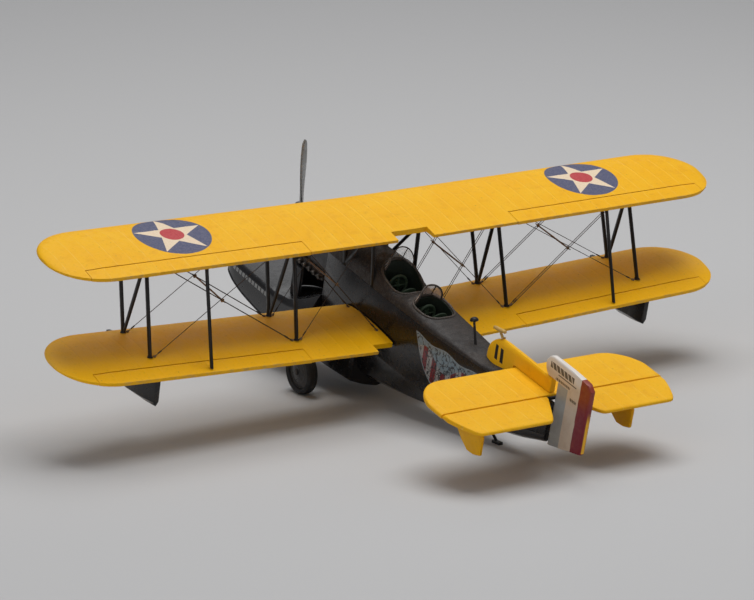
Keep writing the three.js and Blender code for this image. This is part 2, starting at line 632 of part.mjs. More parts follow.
function addTail() {
  const rearY = TAIL.hingeY - 0.55;
  const tip = arcPoints(TAIL.halfSpan - 9, TAIL.leadY + 11, 9, 11, -90, 0, 7);
  const outline = [...tip, [TAIL.halfSpan, rearY], [-TAIL.halfSpan, rearY],
    ...tip.map(([x, y]) => [-x, y]).reverse()];
  add('stabilizer', plate(outline, TAIL.thickness, 0.45).translate(0, 0, TAIL.planeZ), YELLOW());

  const elevator = plate([[1.9, TAIL.hingeY - 0.1], [TAIL.halfSpan - 0.3, TAIL.hingeY - 0.1],
    [TAIL.halfSpan - 3.7, TAIL.elevatorY], [7.3, TAIL.elevatorY]], TAIL.thickness - 0.3, 0.35);
  elevator.translate(0, 0, TAIL.planeZ);
  const tubeClear = rod(v(-3.4, TAIL.hingeY, TAIL.planeZ), v(3.4, TAIL.hingeY, TAIL.planeZ), 0.62, 6);
  for (const side of [PORT, STARBOARD]) {
    add(`elevator_${sideName(side)}`, onSide(side, cut(elevator, tubeClear)), YELLOW());
  }
  add('elevator_torque_tube',
    rod(v(-3.2, TAIL.hingeY, TAIL.planeZ), v(3.2, TAIL.hingeY, TAIL.planeZ), 0.45, 5), BLACK());

  const onPlane = TAIL.planeZ + TAIL.thickness / 2 + GAP;
  const levels = [0, 0.3, 0.55, 0.75, 0.88, 0.95, 1];
  const fin = loft(levels.map((level) => finRing(level)));
  const inflated = loft(bodyStations(8, 24).map((y) => deckRing(y, GAP)));
  add('fin', cut(fin, inflated, box(-5, 5, 21.9, 40, 20, onPlane)), YELLOW());

  const horn = arcPoints(36.4, 33.8, 3.4, 2.9, 225, 100, 6);
  const rudder = sidePlate([[38.35, 15.0], [50.9, 18.6], [50.9, 34.9], [49.6, 36.0],
    ...horn.slice().reverse(), [37.2, 31.5], [38.35, 31.5]], RUDDER_THICKNESS, 0.4);
  add('rudder', rudder, paint(0xd9cdbd, 0.5));

  const finletTop = TAIL.planeZ - TAIL.thickness / 2 - GAP;
  const finlet = sidePlate([[24.5, finletTop], [28.6, 21.5], [33.2, 17.5], [36.0, 15.9], [38.5, 16.1],
    [41.0, 17.0], [41.0, 21.6], [36.6, finletTop]], 0.9, 0.2, 1);
  for (const side of [PORT, STARBOARD]) {
    add(`finlet_${sideName(side)}`, onSide(side, finlet.clone().translate(21.3, 0, 0)), YELLOW());
  }
}

// ---------------------------------------------------------------- landing gear, floats and small fittings
function addGear() {
  const { x, y, z, radius, width, rimRadius, sides } = WHEEL;
  const half = width / 2;
  const lathe = (profile) =>
    new THREE.LatheGeometry(profile.map(([r, h]) => new THREE.Vector2(r, h)), sides)
      .rotateY(Math.PI / sides).rotateZ(-Math.PI / 2);
  const tyreProfile = [[rimRadius + GAP, -half * 0.62], [rimRadius + 0.6, -half * 0.92],
    [radius - 0.5, -half * 0.9], [radius, -half * 0.45], [radius, half * 0.45],
    [radius - 0.5, half * 0.9], [rimRadius + 0.6, half * 0.92], [rimRadius + GAP, half * 0.62],
    [rimRadius + GAP, -half * 0.62]];
  const discProfile = [[0, -half * 0.55], [rimRadius, -half * 0.55], [rimRadius, half * 0.5],
    [1.3, half * 0.95], [0.7, half * 1.25], [0, half * 1.25]];
  const upright = (geometry) => geometry.clone().rotateX(NOSE_UP).translate(x, y, z);
  const tyre = upright(lathe(tyreProfile));
  const disc = upright(lathe(discProfile));
  const inner = x - half * 0.55 - GAP;
  const leg = join(
    rod(v(GEAR_PIVOT.x, y, GEAR_PIVOT.z), v(inner - 0.9, y, z), 0.75, 5),
    rod(v(inner - 1.5, y, z), v(inner, y, z), 0.7, 5),
    rod(v(GEAR_PIVOT.x, y - 2, GEAR_PIVOT.z), v(GEAR_PIVOT.x, y + 2, GEAR_PIVOT.z), 0.85, 5),
  );
  for (const side of [PORT, STARBOARD]) {
    add(`gear_leg_${sideName(side)}`, onSide(side, leg), BLACK());
    add(`tyre_${sideName(side)}`, onSide(side, tyre), RUBBER());
    add(`wheel_disc_${sideName(side)}`, onSide(side, disc), BLACK());
  }
}

function addFloats() {
  const topZ = wingBottom(LOWER, FLOAT.x - 3, FLOAT.sternY - 8) - 0.35;
  // Columns: y, half width, chine z, keel z.
  const stations = [
    [FLOAT.sternY, 0.7, 8.0, 6.8],
    [-24.0, 1.9, 7.6, 5.9],
    [-29.5, 2.6, 7.2, 5.2],
    [-35.0, 2.8, 7.4, 5.3],
    [-39.5, 2.3, 8.6, 6.8],
    [-43.0, 1.4, 10.9, 9.6],
    [FLOAT.bowY, 0.5, 13.0, 12.5],
  ];
  const float = loft(stations.map(([y, w, chineZ, keelZ]) =>
    [v(w * 0.85, y, topZ), v(w, y, chineZ), v(0, y, keelZ), v(-w, y, chineZ), v(-w * 0.85, y, topZ)]));
  float.translate(FLOAT.x, 0, 0);
  for (const side of [PORT, STARBOARD]) {
    add(`tip_float_${sideName(side)}`, onSide(side, float), BLACK());
  }
}

function addFittings() {
  const mast = new THREE.LatheGeometry([[0, 0], [0.32, 0], [0.32, 3.5], [1.05, 3.6], [1.1, 4.2],
    [0.6, 4.9], [0, 5.0]].map(([r, h]) => new THREE.Vector2(r, h)), 12);
  const [, , , deckZ] = between(BODY, MAST_Y);
  const rake = THREE.MathUtils.degToRad(14);
  mast.rotateX(Math.PI / 2 + rake);
  add('mast', mast.translate(0, MAST_Y, deckZ + 2 * GAP), BLACK());

  // The flat under the tyres and the sole of the skid shoe lie on one ground plane.
  const flatRadius = WHEEL.radius * Math.cos(Math.PI / WHEEL.sides);
  const ground = Math.cos(NOSE_UP) * WHEEL.z - Math.sin(NOSE_UP) * WHEEL.y - flatRadius;
  const soleZ = (ground + Math.sin(NOSE_UP) * SKID_Y) / Math.cos(NOSE_UP);
  const shoe = box(-0.55, 0.55, -1.9, 1.2, 0, 0.7).rotateX(NOSE_UP).translate(0, SKID_Y, soleZ);
  const bar = strutGeometry(v(0, SKID_Y - 0.6, soleZ + 0.3), v(0, SKID_Y - 4.4, 7.5), 1.1, 0.8);
  add('tail_skid', join(shoe, bar), BLACK());
}

addWings();
addInterplaneStruts();
addCabanes();
addAileronLinks();
addRigging();
addHull();
addEngine();
addPropeller();
addCockpits();
addTail();
addGear();
addFloats();
addFittings();

// ---------------------------------------------------------------- stand it on the ground
airframe.rotation.x = -NOSE_UP;
const group = new THREE.Group();
group.add(airframe);
group.updateMatrixWorld(true);
const bounds = new THREE.Box3().setFromObject(group, true);
const centre = bounds.getCenter(v(0, 0, 0));
airframe.position.set(0, -centre.y, -bounds.min.z);

export default group;
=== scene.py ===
"""Looks for a display model of an amphibian biplane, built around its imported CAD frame.

Shapes are drawn in the airframe's own axes, in millimetres: nose towards -Y, port towards +X, up +Z.
AIRFRAME then pitches them nose-up and puts them, in metres, where the frame's parts are.
"""
import json
from math import copysign, cos, exp, pi, radians, sin, sqrt, tan

import bmesh
import bpy
from mathutils import Matrix, Vector


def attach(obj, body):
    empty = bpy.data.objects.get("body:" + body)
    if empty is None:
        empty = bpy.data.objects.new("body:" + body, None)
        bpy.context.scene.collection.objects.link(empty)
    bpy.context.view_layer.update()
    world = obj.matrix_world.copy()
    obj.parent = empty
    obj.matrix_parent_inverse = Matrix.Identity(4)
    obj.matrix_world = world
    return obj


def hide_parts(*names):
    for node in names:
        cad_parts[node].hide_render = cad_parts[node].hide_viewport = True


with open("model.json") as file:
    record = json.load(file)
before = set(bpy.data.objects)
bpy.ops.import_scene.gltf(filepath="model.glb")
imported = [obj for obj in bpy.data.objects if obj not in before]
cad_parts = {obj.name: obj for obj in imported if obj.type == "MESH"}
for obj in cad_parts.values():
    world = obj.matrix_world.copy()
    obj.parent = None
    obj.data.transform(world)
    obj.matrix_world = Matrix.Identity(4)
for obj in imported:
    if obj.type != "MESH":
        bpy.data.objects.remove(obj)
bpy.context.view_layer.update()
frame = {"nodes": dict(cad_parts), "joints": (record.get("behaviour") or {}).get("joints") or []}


def at(x, y, z):
    return Vector((x, y, z))


def turns(count):
    """That many angles, evenly round a full turn."""
    return [2 * pi * k / count for k in range(count)]


# ------------------------------------------------------------------ airframe axes
MM = 0.001
NOSE_UP = radians(14.4)
HUB = at(0, -75.6, 23.4)
JOINTS = {joint["name"]: joint for joint in frame["joints"]}

pitch = Matrix.Rotation(-NOSE_UP, 4, "X")
SHIFT = Vector(JOINTS["propeller_spin"]["pos_m"]) - pitch @ (HUB * MM)
AIRFRAME = Matrix.Translation(SHIFT) @ pitch @ Matrix.Scale(MM, 4)

SIDES = {"port": 1, "starboard": -1}
SPAN_HALF = 95.11
# The tips are arcs of a slightly longer wing, cut off square at SPAN_HALF.
TIP_END = 95.25
TIP = 14.0
CHORD = 25.4
RIB_PITCH = 4.2
UPPER = {"z": 38.2, "rise": tan(radians(0.6)), "trail": -24.6, "notch": 5.25, "notch_depth": 3.7,
         "inner": 30.0}
LOWER = {"z": 12.7, "rise": tan(radians(2.4)), "trail": -16.1, "notch": 12.3, "notch_depth": 2.9,
         "inner": 31.2}
AILERON = {"chord": 4.8, "outer": 88.5, "gap": 0.15, "end_gap": 0.14, "bay_hollow": 0.32}
TAIL = {"z": 26.7, "lead": 22.4, "rear": 36.98, "hinge": 37.4, "half": 31.2, "trail": 47.5}
COCKPITS = {
    "front": {"y": -26.9, "length": 5.1, "width": 4.7, "wheel_y": -29.4, "wheel_z": 23.4, "wheel_r": 2.6},
    "rear": {"y": -13.0, "length": 4.8, "width": 4.4, "wheel_y": -15.7, "wheel_z": 22.4, "wheel_r": 2.1},
}
WELL_FLOOR = 12.0
DECK_SPREAD = 0.995
SEAT_LIFT = 3.2
FIN = {"lead": 10.3, "rear": 36.2, "sweep": 5.3, "foot": 24.35, "top": 31.1, "foot_half": 1.5,
       "top_half": 0.85, "rear_half": 0.7}
STRUT = {"outboard": 71.3, "inboard": 30.8, "front": -38.0, "rear": -24.7, "lean": 1.1}
CABANE_TOP = 6.6
ROOT = 6.5
STAGGER = UPPER["trail"] - LOWER["trail"]
WHEEL = at(15.0, -43.5, -5.2)
HUB_LEAN = radians(5)
# Columns: y, half width, corner z, bottom z, deck crown z.
BODY = [
    (-52.0, 6.2, 22.8, 7.1, 28.0), (-40.0, 6.2, 22.8, 7.1, 29.0), (-32.5, 6.2, 22.8, 7.1, 29.4),
    (-22.0, 6.1, 22.8, 7.1, 25.0), (-20.5, 6.1, 22.8, 7.1, 25.4), (-18.2, 6.0, 22.8, 7.1, 26.2),
    (-8.0, 5.7, 22.8, 7.1, 24.9), (6.0, 4.7, 22.9, 9.95, 24.4), (12.0, 4.2, 23.0, 11.2, 24.2),
    (22.0, 3.2, 23.3, 13.45, 25.3), (37.4, 0.9, 24.1, 17.15, 25.35),
]


# ------------------------------------------------------------------ materials
class Value:
    """A node's output. Arithmetic on it adds math nodes to its material."""

    def __init__(self, paint, socket):
        self.paint = paint
        self.socket = socket

    def apply(self, operation, other=0.0):
        return self.paint.math(operation, self, other)

    def __add__(self, other):
        return self.apply("ADD", other)

    def __sub__(self, other):
        return self.apply("SUBTRACT", other)

    def __rsub__(self, other):
        return self.paint.math("SUBTRACT", other, self)

    def __mul__(self, other):
        return self.apply("MULTIPLY", other)

    def __truediv__(self, other):
        return self.apply("DIVIDE", other)

    def __gt__(self, other):
        return self.apply("GREATER_THAN", other)

    def __abs__(self):
        return self.apply("ABSOLUTE")

    def span(self, low, high, out_low=0.0, out_high=1.0):
        """Values between low and high as out_low to out_high, held at both ends."""
        node = self.paint.nodes.new("ShaderNodeMapRange")
        node.interpolation_type = "SMOOTHSTEP"
        for i, value in enumerate((self, low, high, out_low, out_high)):
            self.paint.set(node.inputs[i], value)
        return Value(self.paint, node.outputs[0])

    def band(self, low, high, soft=0.1):
        """1 where the value lies between low and high."""
        return self.span(low, low + soft) * self.span(high - soft, high, 1, 0)


class Paint:
    """One procedural material, with the colour that its layers have reached so far."""

    def __init__(self, name, colour):
        self.material = bpy.data.materials.new(name)
        self.material.use_nodes = True
        self.nodes = self.material.node_tree.nodes
        self.links = self.material.node_tree.links
        self.shader = self.nodes["Principled BSDF"]
        self.colour = colour
        self.place = self.airframe_place()

    def set(self, socket, value):
        if isinstance(value, Value):
            self.links.new(value.socket, socket)
        else:
            socket.default_value = value

    def shade(self, **values):
        for name, value in values.items():
            self.set(self.shader.inputs[name.replace("_", " ")], value)

    def math(self, operation, a, b=0.0):
        node = self.nodes.new("ShaderNodeMath")
        node.operation = operation
        self.set(node.inputs[0], a)
        self.set(node.inputs[1], b)
        return Value(self, node.outputs[0])

    def mix(self, share, a, b):
        node = self.nodes.new("ShaderNodeMix")
        node.data_type = "RGBA"
        self.set(node.inputs["Factor"], share)
        for i, colour in ((6, a), (7, b)):
            self.set(node.inputs[i], (*colour, 1) if isinstance(colour, tuple) else colour)
        return Value(self, node.outputs[2])

    def lay(self, share, over):
        """Covers the colour so far with another, as far as share says."""
        self.colour = self.mix(share, self.colour, over)

    def airframe_place(self):
        """Where a point lies in the airframe's axes, in millimetres."""
        mapping = self.nodes.new("ShaderNodeMapping")
        coordinates = self.nodes.new("ShaderNodeTexCoord")
        self.links.new(coordinates.outputs["Object"], mapping.inputs["Vector"])
        mapping.inputs["Scale"].default_value = (1 / MM,) * 3
        mapping.inputs["Rotation"].default_value = (NOSE_UP, 0, 0)
        mapping.inputs["Location"].default_value = -(pitch.inverted() @ SHIFT) / MM
        return mapping.outputs[0]

    def axes(self):
        node = self.nodes.new("ShaderNodeSeparateXYZ")
        self.links.new(self.place, node.inputs[0])
        return [Value(self, socket) for socket in node.outputs]

    def noise(self, scale, detail):
        """Cloudy values from 0 to 1; scale is in waves per millimetre."""
        node = self.nodes.new("ShaderNodeTexNoise")
        self.links.new(self.place, node.inputs["Vector"])
        node.inputs["Scale"].default_value = scale
        node.inputs["Detail"].default_value = detail
        return Value(self, node.outputs[0])

    def specks(self, scale, size, share):
        """Small dots: 1 inside a dot. share is the part of the cells that hold one."""
        node = self.nodes.new("ShaderNodeTexVoronoi")
        self.links.new(self.place, node.inputs["Vector"])
        node.inputs["Scale"].default_value = scale
        split = self.nodes.new("ShaderNodeSeparateColor")
        self.links.new(node.outputs["Color"], split.inputs[0])
        chosen = Value(self, split.outputs[0]).apply("LESS_THAN", share)
        return Value(self, node.outputs["Distance"]).span(size * 0.6, size, 1.0, 0.0) * chosen

    def bump(self, height, depth):
        """Surface relief; depth is in millimetres."""
        node = self.nodes.new("ShaderNodeBump")
        node.inputs["Strength"].default_value = 1.0
        node.inputs["Distance"].default_value = depth * MM
        self.set(node.inputs["Height"], height)
        normal = self.shader.inputs["Normal"]
        if normal.is_linked:
            self.links.new(normal.links[0].from_socket, node.inputs["Normal"])
        self.links.new(node.outputs[0], normal)


YELLOW = (0.88, 0.445, 0.006)
YELLOW_PALE = (0.89, 0.475, 0.012)
YELLOW_DEEP = (0.78, 0.355, 0.010)
# Deeper orange laid over the lower wing as painted shade beneath the upper wing.
YELLOW_IN_SHADE = (0.98, 0.51, 0.002)
RIB_YELLOW = (0.90, 0.56, 0.10)
GRIME = (0.22, 0.13, 0.045)
TAN = (0.52, 0.34, 0.13)
# Brown laid on the front of the lower wing as painted shade, where the upper wing lies over it.
UNDERWING_SHADE_BROWN = (0.80, 0.46, 0.095)
BLUE, BLUE_FADED = (0.085, 0.092, 0.165), (0.17, 0.165, 0.21)
CREAM, CREAM_FADED = (0.82, 0.66, 0.48), (0.72, 0.55, 0.36)
RED, RED_FADED = (0.47, 0.055, 0.065), (0.55, 0.10, 0.09)


def yellow_layers(name, trail=None, ribs=True, dust=0.0):
    """Hand-brushed yellow with faint mottling and rib lines and a scuffed trailing edge, with painted shade
    for the lower wing: deeper orange all over and browner ahead.
    """
    paint = Paint(name, YELLOW)
    x, y, _ = paint.axes()
    paint.lay(paint.noise(0.09, 5).span(0.38, 0.68), YELLOW_PALE)
    paint.lay(paint.noise(0.35, 6).span(0.5, 0.75, 0.0, 0.5), YELLOW_DEEP)
    if ribs:
        from_rib = (abs(x) / RIB_PITCH).apply("FRACT").apply("PINGPONG", 0.5)
        line = from_rib.span(0.0, 0.15 / RIB_PITCH, 1.0, 0.0)
        paint.lay(line * paint.noise(0.5, 3).span(0.35, 0.65, 0.15, 0.65), RIB_YELLOW)
    if dust:
        # Painted shade: three quarters of a deeper orange over the whole lower wing, which the upper wing
        # shades.
        paint.lay(0.75, YELLOW_IN_SHADE)
        # Painted shade: browner towards the lower wing's front, which lies under the upper wing.
        shaded_ahead = y.span(trail - 15, trail - 4, dust, 0.0)
        paint.lay(shaded_ahead * paint.noise(0.14, 6).span(0.3, 0.65, 0.45, 1.0), UNDERWING_SHADE_BROWN)
    paint.lay(paint.noise(1.6, 6).span(0.56, 0.75) * 0.16, GRIME)
    paint.lay(paint.specks(0.55, 0.13, 0.16) * 0.4, GRIME)
    if trail is not None:
        near = y.span(trail - 0.32, trail - 0.04)
        paint.lay(near * paint.noise(0.6, 8).span(0.42, 0.72, 0.06, 0.6), TAN)
    return paint


def yellow_surface(paint):
    paint.shade(Base_Color=paint.colour, Roughness=paint.noise(0.8, 5).span(0.3, 0.7, 0.42, 0.58),
                Specular_IOR_Level=0.16)
    paint.bump(paint.noise(2.6, 5), 0.025)
    paint.bump(paint.noise(0.5, 3), 0.03)
    return paint.material


def yellow(*layers, **options):
    return yellow_surface(yellow_layers(*layers, **options))


def roundel_wing(name):
    """The upper wing's yellow, with a star in a disc on its top skin near each tip."""
    paint = yellow_layers(name, UPPER["trail"])
    x, y, z = paint.axes()
    centre, middle, radius, heart_radius, soft = 59.8, -39.9, 9.5, 2.95, 0.09
    across, shaded_ahead = abs(x) - centre, middle - y
    distance = (across * across + shaded_ahead * shaded_ahead).apply("SQRT")
    sector = 2 * pi / 5
    turn = across.apply("ARCTAN2", shaded_ahead) + 4.5 * sector
    folded = abs(turn.apply("MODULO", sector) - sector / 2)
    reach = distance * (folded.apply("COSINE") + folded.apply("SINE") * tan(sector))
    disc = distance.span(radius - soft, radius + soft, 1, 0) * z.span(38.6, 38.75)
    star = reach.span(radius - 0.35, radius - 0.05, 1, 0) * disc
    heart = distance.span(heart_radius - soft, heart_radius + soft, 1, 0) * disc
    printed = paint.noise(2.2, 8).span(0.35, 0.7, 0.0, 0.6)
    paint.lay(disc, paint.mix(printed, BLUE, BLUE_FADED))
    paint.lay(star, paint.mix(printed, CREAM, CREAM_FADED))
    paint.lay(heart, paint.mix(printed, RED, RED_FADED))
    return yellow_surface(paint)


def rudder_paint():
    """Off-white, pale at the top, with a blue-grey stripe, a dark red one behind it, and generic dashes."""
    paint = Paint("rudder_paint", (0.60, 0.49, 0.38))
    _, y, z = paint.axes()
    dirt = paint.noise(0.6, 6).span(0.4, 0.75, 0.0, 0.5)
    paint.lay(dirt, (0.50, 0.38, 0.27))
    paint.lay(z.span(32.4, 35.2) * 0.9, (0.76, 0.715, 0.66))
    grey = y.band(35.0, 42.7) * z.span(31.35, 31.5, 1, 0)
    paint.lay(grey, paint.mix(dirt, (0.33, 0.34, 0.33), (0.26, 0.27, 0.26)))
    edge = paint.noise(0.5, 3).span(0.3, 0.7, 46.9, 47.05)
    scuffed = paint.noise(0.45, 6).span(0.5, 0.8, 0.0, 0.6)
    crimson = paint.mix(scuffed, (0.19, 0.011, 0.022), (0.27, 0.04, 0.025))
    crimson = paint.mix(z.span(28.0, 33.0, 0.0, 0.6), crimson, (0.30, 0.045, 0.012))
    paint.lay((y - edge).span(0.0, 0.08), crimson)
    paint.lay(y.span(50.78, 50.84) * z.span(26.0, 30.0, 1, 0), YELLOW)
    leaning = y * 0.66 + z * 0.36
    broken = (leaning * 2.0).apply("FRACT")
    bold = z.band(33.7, 35.3) * y.band(35.0, 44.4) * (leaning.apply("FRACT") > 0.2)
    rule = z.band(33.05, 33.45) * y.band(38.4, 45.6)
    fine = z.band(31.7, 32.4) * y.band(37.6, 43.4) * (broken > 0.26)
    small = z.band(29.3, 30.1) * y.band(43.8, 46.4) * (broken > 0.22)
    marks = bold.apply("MAXIMUM", rule).apply("MAXIMUM", fine.apply("MAXIMUM", small))
    paint.lay(marks * 0.9, (0.03, 0.022, 0.018))
    paint.lay(paint.specks(0.9, 0.12, 0.12) * 0.5, GRIME)
    paint.shade(Base_Color=paint.colour, Roughness=paint.noise(1.0, 4).span(0.3, 0.7, 0.35, 0.55))
    paint.bump(paint.noise(1.8, 5), 0.03)
    return paint.material


def fin_paint():
    """The tail's yellow, with two plain black bars on each side."""
    paint = yellow_layers("fin_paint_bars", ribs=False)
    _, y, z = paint.axes()
    slanted = y + z * 0.18
    bars = slanted.band(19.2, 20.5).apply("MAXIMUM", slanted.band(21.4, 22.7))
    paint.lay(bars * z.band(25.7, 29.2), (0.02, 0.018, 0.016))
    return yellow_surface(paint)


def dark_layers(name, base, worn, dust):
    """Dark paint with brushed unevenness, dust in patches and a few specks."""
    paint = Paint(name, base)
    paint.lay(paint.noise(0.25, 6).span(0.35, 0.75) * 0.6, tuple(1.5 * c for c in base))
    paint.lay(paint.noise(0.9, 8).span(0.52, 0.8) * dust, worn)
    paint.lay(paint.specks(1.1, 0.10, 0.08) * (1.2 * dust), worn)
    return paint


def dark_surface(paint, roughness, relief, metallic=0.0, coat=0.0):
    low, high = roughness
    paint.shade(Base_Color=paint.colour, Roughness=paint.noise(0.7, 6).span(0.3, 0.75, low, high),
                Metallic=metallic, Specular_IOR_Level=0.35, Coat_Weight=coat, Coat_Roughness=0.1)
    paint.bump(paint.noise(1.3, 5), relief)
    return paint.material


def worn_deck(name, base, pale, brown):
    """Matt grainy decking, dusty on top and brownish where hands and brushes have rubbed it."""
    paint = dark_layers(name, base, pale, 0.45)
    paint.lay(paint.noise(0.16, 5).span(0.45, 0.7, 0.0, 0.55), brown)
    paint.lay(paint.noise(3.4, 5).span(0.42, 0.75, 0.0, 0.5), pale)
    dark_surface(paint, (0.45, 0.7), 0.06)
    paint.bump(paint.noise(4.2, 5), 0.09)
    return paint.material


def shield_paint():
    """The fuselage's gloss black, with a plain striped shield on each side."""
    paint = dark_layers("fuselage_gloss_black", (0.0095, 0.0088, 0.0092), (0.06, 0.052, 0.045), 0.06)
    _, y, z = paint.axes()
    paint.lay(paint.noise(0.07, 3).span(0.5, 0.75, 0.0, 0.45), (0.020, 0.011, 0.006))
    middle, half, point, depth, top = 0.9, 11.5, 9.6, 9.9, 20.6
    off = y - middle
    upper = (off * 0.56).apply("COSINE") * 0.4 + top
    lower = (abs(off) / half).apply("POWER", 2.4) * depth + point
    below, above = upper - z, z - lower
    inside = below.span(0.0, 0.1) * above.span(0.0, 0.1)
    within_border = below.span(0.3, 0.4) * above.span(0.35, 0.45)
    printed = paint.noise(1.1, 7).span(0.35, 0.7, 0.0, 0.6)
    striped = (y * 1.7).apply("SINE") > 0.0
    pales = paint.mix(striped, (0.34, 0.32, 0.30), (0.19, 0.018, 0.024))
    chief = paint.mix(printed, (0.17, 0.225, 0.255), (0.29, 0.33, 0.33))
    chief_foot = 16.9 - (off * 0.42).apply("COSINE") * 1.9
    field = paint.mix((z - chief_foot).span(0.0, 0.12), pales, chief)
    wander = abs(paint.noise(0.62, 2.5) - 0.5)
    ink = wander.span(0.030, 0.050, 1.0, 0.0) * paint.noise(0.2, 2).span(0.33, 0.46)
    field = paint.mix(ink * 0.9, field, (0.018, 0.017, 0.019))
    field = paint.mix(within_border, (0.24, 0.27, 0.28), field)
    field = paint.mix(printed * 0.3, field, (0.07, 0.065, 0.06))
    paint.lay(inside * 0.92, field)
    return dark_surface(paint, (0.20, 0.32), 0.008, coat=0.04)


def bow_paint():
    """Gloss black for the hull, with a plain broken line along each side of the bow."""
    paint = dark_layers("hull_gloss_black", (0.0095, 0.0090, 0.0095), (0.085, 0.08, 0.075), 0.14)
    _, y, z = paint.axes()
    line = z.band(0.55, 1.75) * y.band(-90.0, -70.5) * ((y * 0.62).apply("FRACT") > 0.3)
    paint.lay(line * 0.65, (0.36, 0.36, 0.35))
    return dark_surface(paint, (0.16, 0.30), 0.015, coat=0.15)


def glass_material(name, clear, smeared, alpha):
    paint = Paint(name, clear)
    smear = paint.noise(0.6, 6).span(0.4, 0.8)
    paint.lay(smear, smeared)
    paint.shade(Base_Color=paint.colour, Roughness=paint.noise(1.2, 4).span(0.3, 0.8, 0.03, 0.2),
                Alpha=smear.span(0.0, 1.0, *alpha), IOR=1.49)
    return paint.material


def dial_material():
    """Black dial faces with pale flecks for markings."""
    paint = dark_layers("dial_faces", (0.012, 0.012, 0.012), (0.3, 0.3, 0.27), 0.2)
    paint.lay(paint.specks(2.6, 0.16, 0.35), (0.6, 0.58, 0.5))
    return dark_surface(paint, (0.12, 0.22), 0.01)


MATERIALS = {
    "upper_yellow": yellow("wing_paint_upper", UPPER["trail"]),
    # The lower wing's yellow carries painted shade from the upper wing: deeper orange all over, browner
    # towards its front.
    "lower_yellow": yellow("wing_paint_lower", LOWER["trail"], dust=0.6),
    "tail_yellow": yellow("tail_paint_yellow"),
    "plain_yellow": yellow("finlet_paint_yellow", ribs=False),
    "fin": fin_paint(),
    "roundel": roundel_wing("wing_paint_roundel"),
    "rudder": rudder_paint(),
    "hull": bow_paint(),
    "side": shield_paint(),
    "deck": worn_deck("deck_matt_grey", (0.0155, 0.013, 0.012), (0.088, 0.074, 0.065), (0.033, 0.022, 0.015)),
    "hood": worn_deck("cockpit_hood_brown", (0.040, 0.031, 0.025), (0.13, 0.105, 0.085),
                      (0.055, 0.038, 0.026)),
    "clear_glass": glass_material("windscreen_clear", (0.88, 0.87, 0.86), (0.70, 0.66, 0.62), (0.16, 0.34)),
    "pink_glass": glass_material("windscreen_aged", (0.66, 0.52, 0.44), (0.60, 0.46, 0.38), (0.42, 0.66)),
    "dials": dial_material(),
}
# Columns: name, colour, worn colour, dust, lowest and highest roughness, relief in millimetres, metallic.
DARK_PAINTS = {
    "cowl": ("cowl_matt_grey", (0.020, 0.0185, 0.019), (0.09, 0.08, 0.075), 0.2, (0.34, 0.5), 0.03, 0),
    "strut": ("strut_black", (0.0065, 0.0062, 0.0065), (0.06, 0.048, 0.038), 0.12, (0.32, 0.5), 0.02, 0),
    "metal": ("engine_metal", (0.10, 0.088, 0.078), (0.42, 0.36, 0.30), 0.5, (0.3, 0.5), 0.03, 0.75),
    "propeller": ("propeller_metal", (0.25, 0.25, 0.245), (0.48, 0.47, 0.45), 0.4, (0.22, 0.38), 0.02, 0.75),
    "green": ("cockpit_green", (0.030, 0.048, 0.026), (0.12, 0.15, 0.09), 0.35, (0.42, 0.65), 0.04, 0),
    "lining": ("cockpit_lining_green", (0.008, 0.0125, 0.007), (0.04, 0.05, 0.03), 0.3, (0.5, 0.7), 0.04, 0),
    "leather": ("seat_leather_green", (0.055, 0.080, 0.040), (0.16, 0.19, 0.11), 0.3, (0.38, 0.58), 0.05, 0),
    "rubber": ("tyre_rubber", (0.020, 0.020, 0.021), (0.09, 0.085, 0.08), 0.3, (0.55, 0.8), 0.04, 0),
    "disc": ("wheel_disc_black", (0.036, 0.034, 0.033), (0.12, 0.105, 0.09), 0.3, (0.3, 0.5), 0.03, 0),
    "thread": ("rigging_thread", (0.030, 0.019, 0.012), (0.12, 0.08, 0.05), 0.4, (0.5, 0.7), 0.02, 0),
    "fitting": ("rigging_fitting_tan", (0.16, 0.10, 0.05), (0.34, 0.24, 0.13), 0.4, (0.4, 0.6), 0.03, 0),
    "ochre": ("antenna_ochre", (0.46, 0.29, 0.08), (0.60, 0.46, 0.22), 0.4, (0.42, 0.6), 0.03, 0),
}
for look, (*layers, roughness, relief, metallic) in DARK_PAINTS.items():
    MATERIALS[look] = dark_surface(dark_layers(*layers), roughness, relief, metallic)


def shade_smooth(mesh):
    mesh.polygons.foreach_set("use_smooth", [True] * len(mesh.polygons))


def dress(node, look):
    """Gives a CAD node that stays in view its material and clean shading."""
    shown = frame["nodes"][node]
    shown.data.materials.clear()
    shown.data.materials.append(MATERIALS[look])
    shade_smooth(shown.data)
    weld = shown.modifiers.new("weld", "WELD")
    weld.merge_threshold = 1e-6
    bevel = shown.modifiers.new("soft_edges", "BEVEL")
    bevel.width = 0.12 * MM
    bevel.segments = 2
    bevel.limit_method = "ANGLE"
    bevel.angle_limit = radians(35)
    bevel.harden_normals = True


# ------------------------------------------------------------------ mesh helpers
def piece(name, bm, look, replaces=None, body="root", sharp=35):
    """Turns a bmesh in airframe millimetres into a finished piece that rides on a body."""
    bmesh.ops.recalc_face_normals(bm, faces=bm.faces)
    bm.transform(AIRFRAME)
    mesh = bpy.data.meshes.new(name)
    bm.to_mesh(mesh)
    bm.free()
    shade_smooth(mesh)
    mesh.set_sharp_from_angle(angle=radians(sharp))
    mesh.materials.append(MATERIALS[look])
    made = bpy.data.objects.new(name, mesh)
    bpy.context.scene.collection.objects.link(made)
    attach(made, body)
    if replaces:
        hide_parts(replaces)
    return made


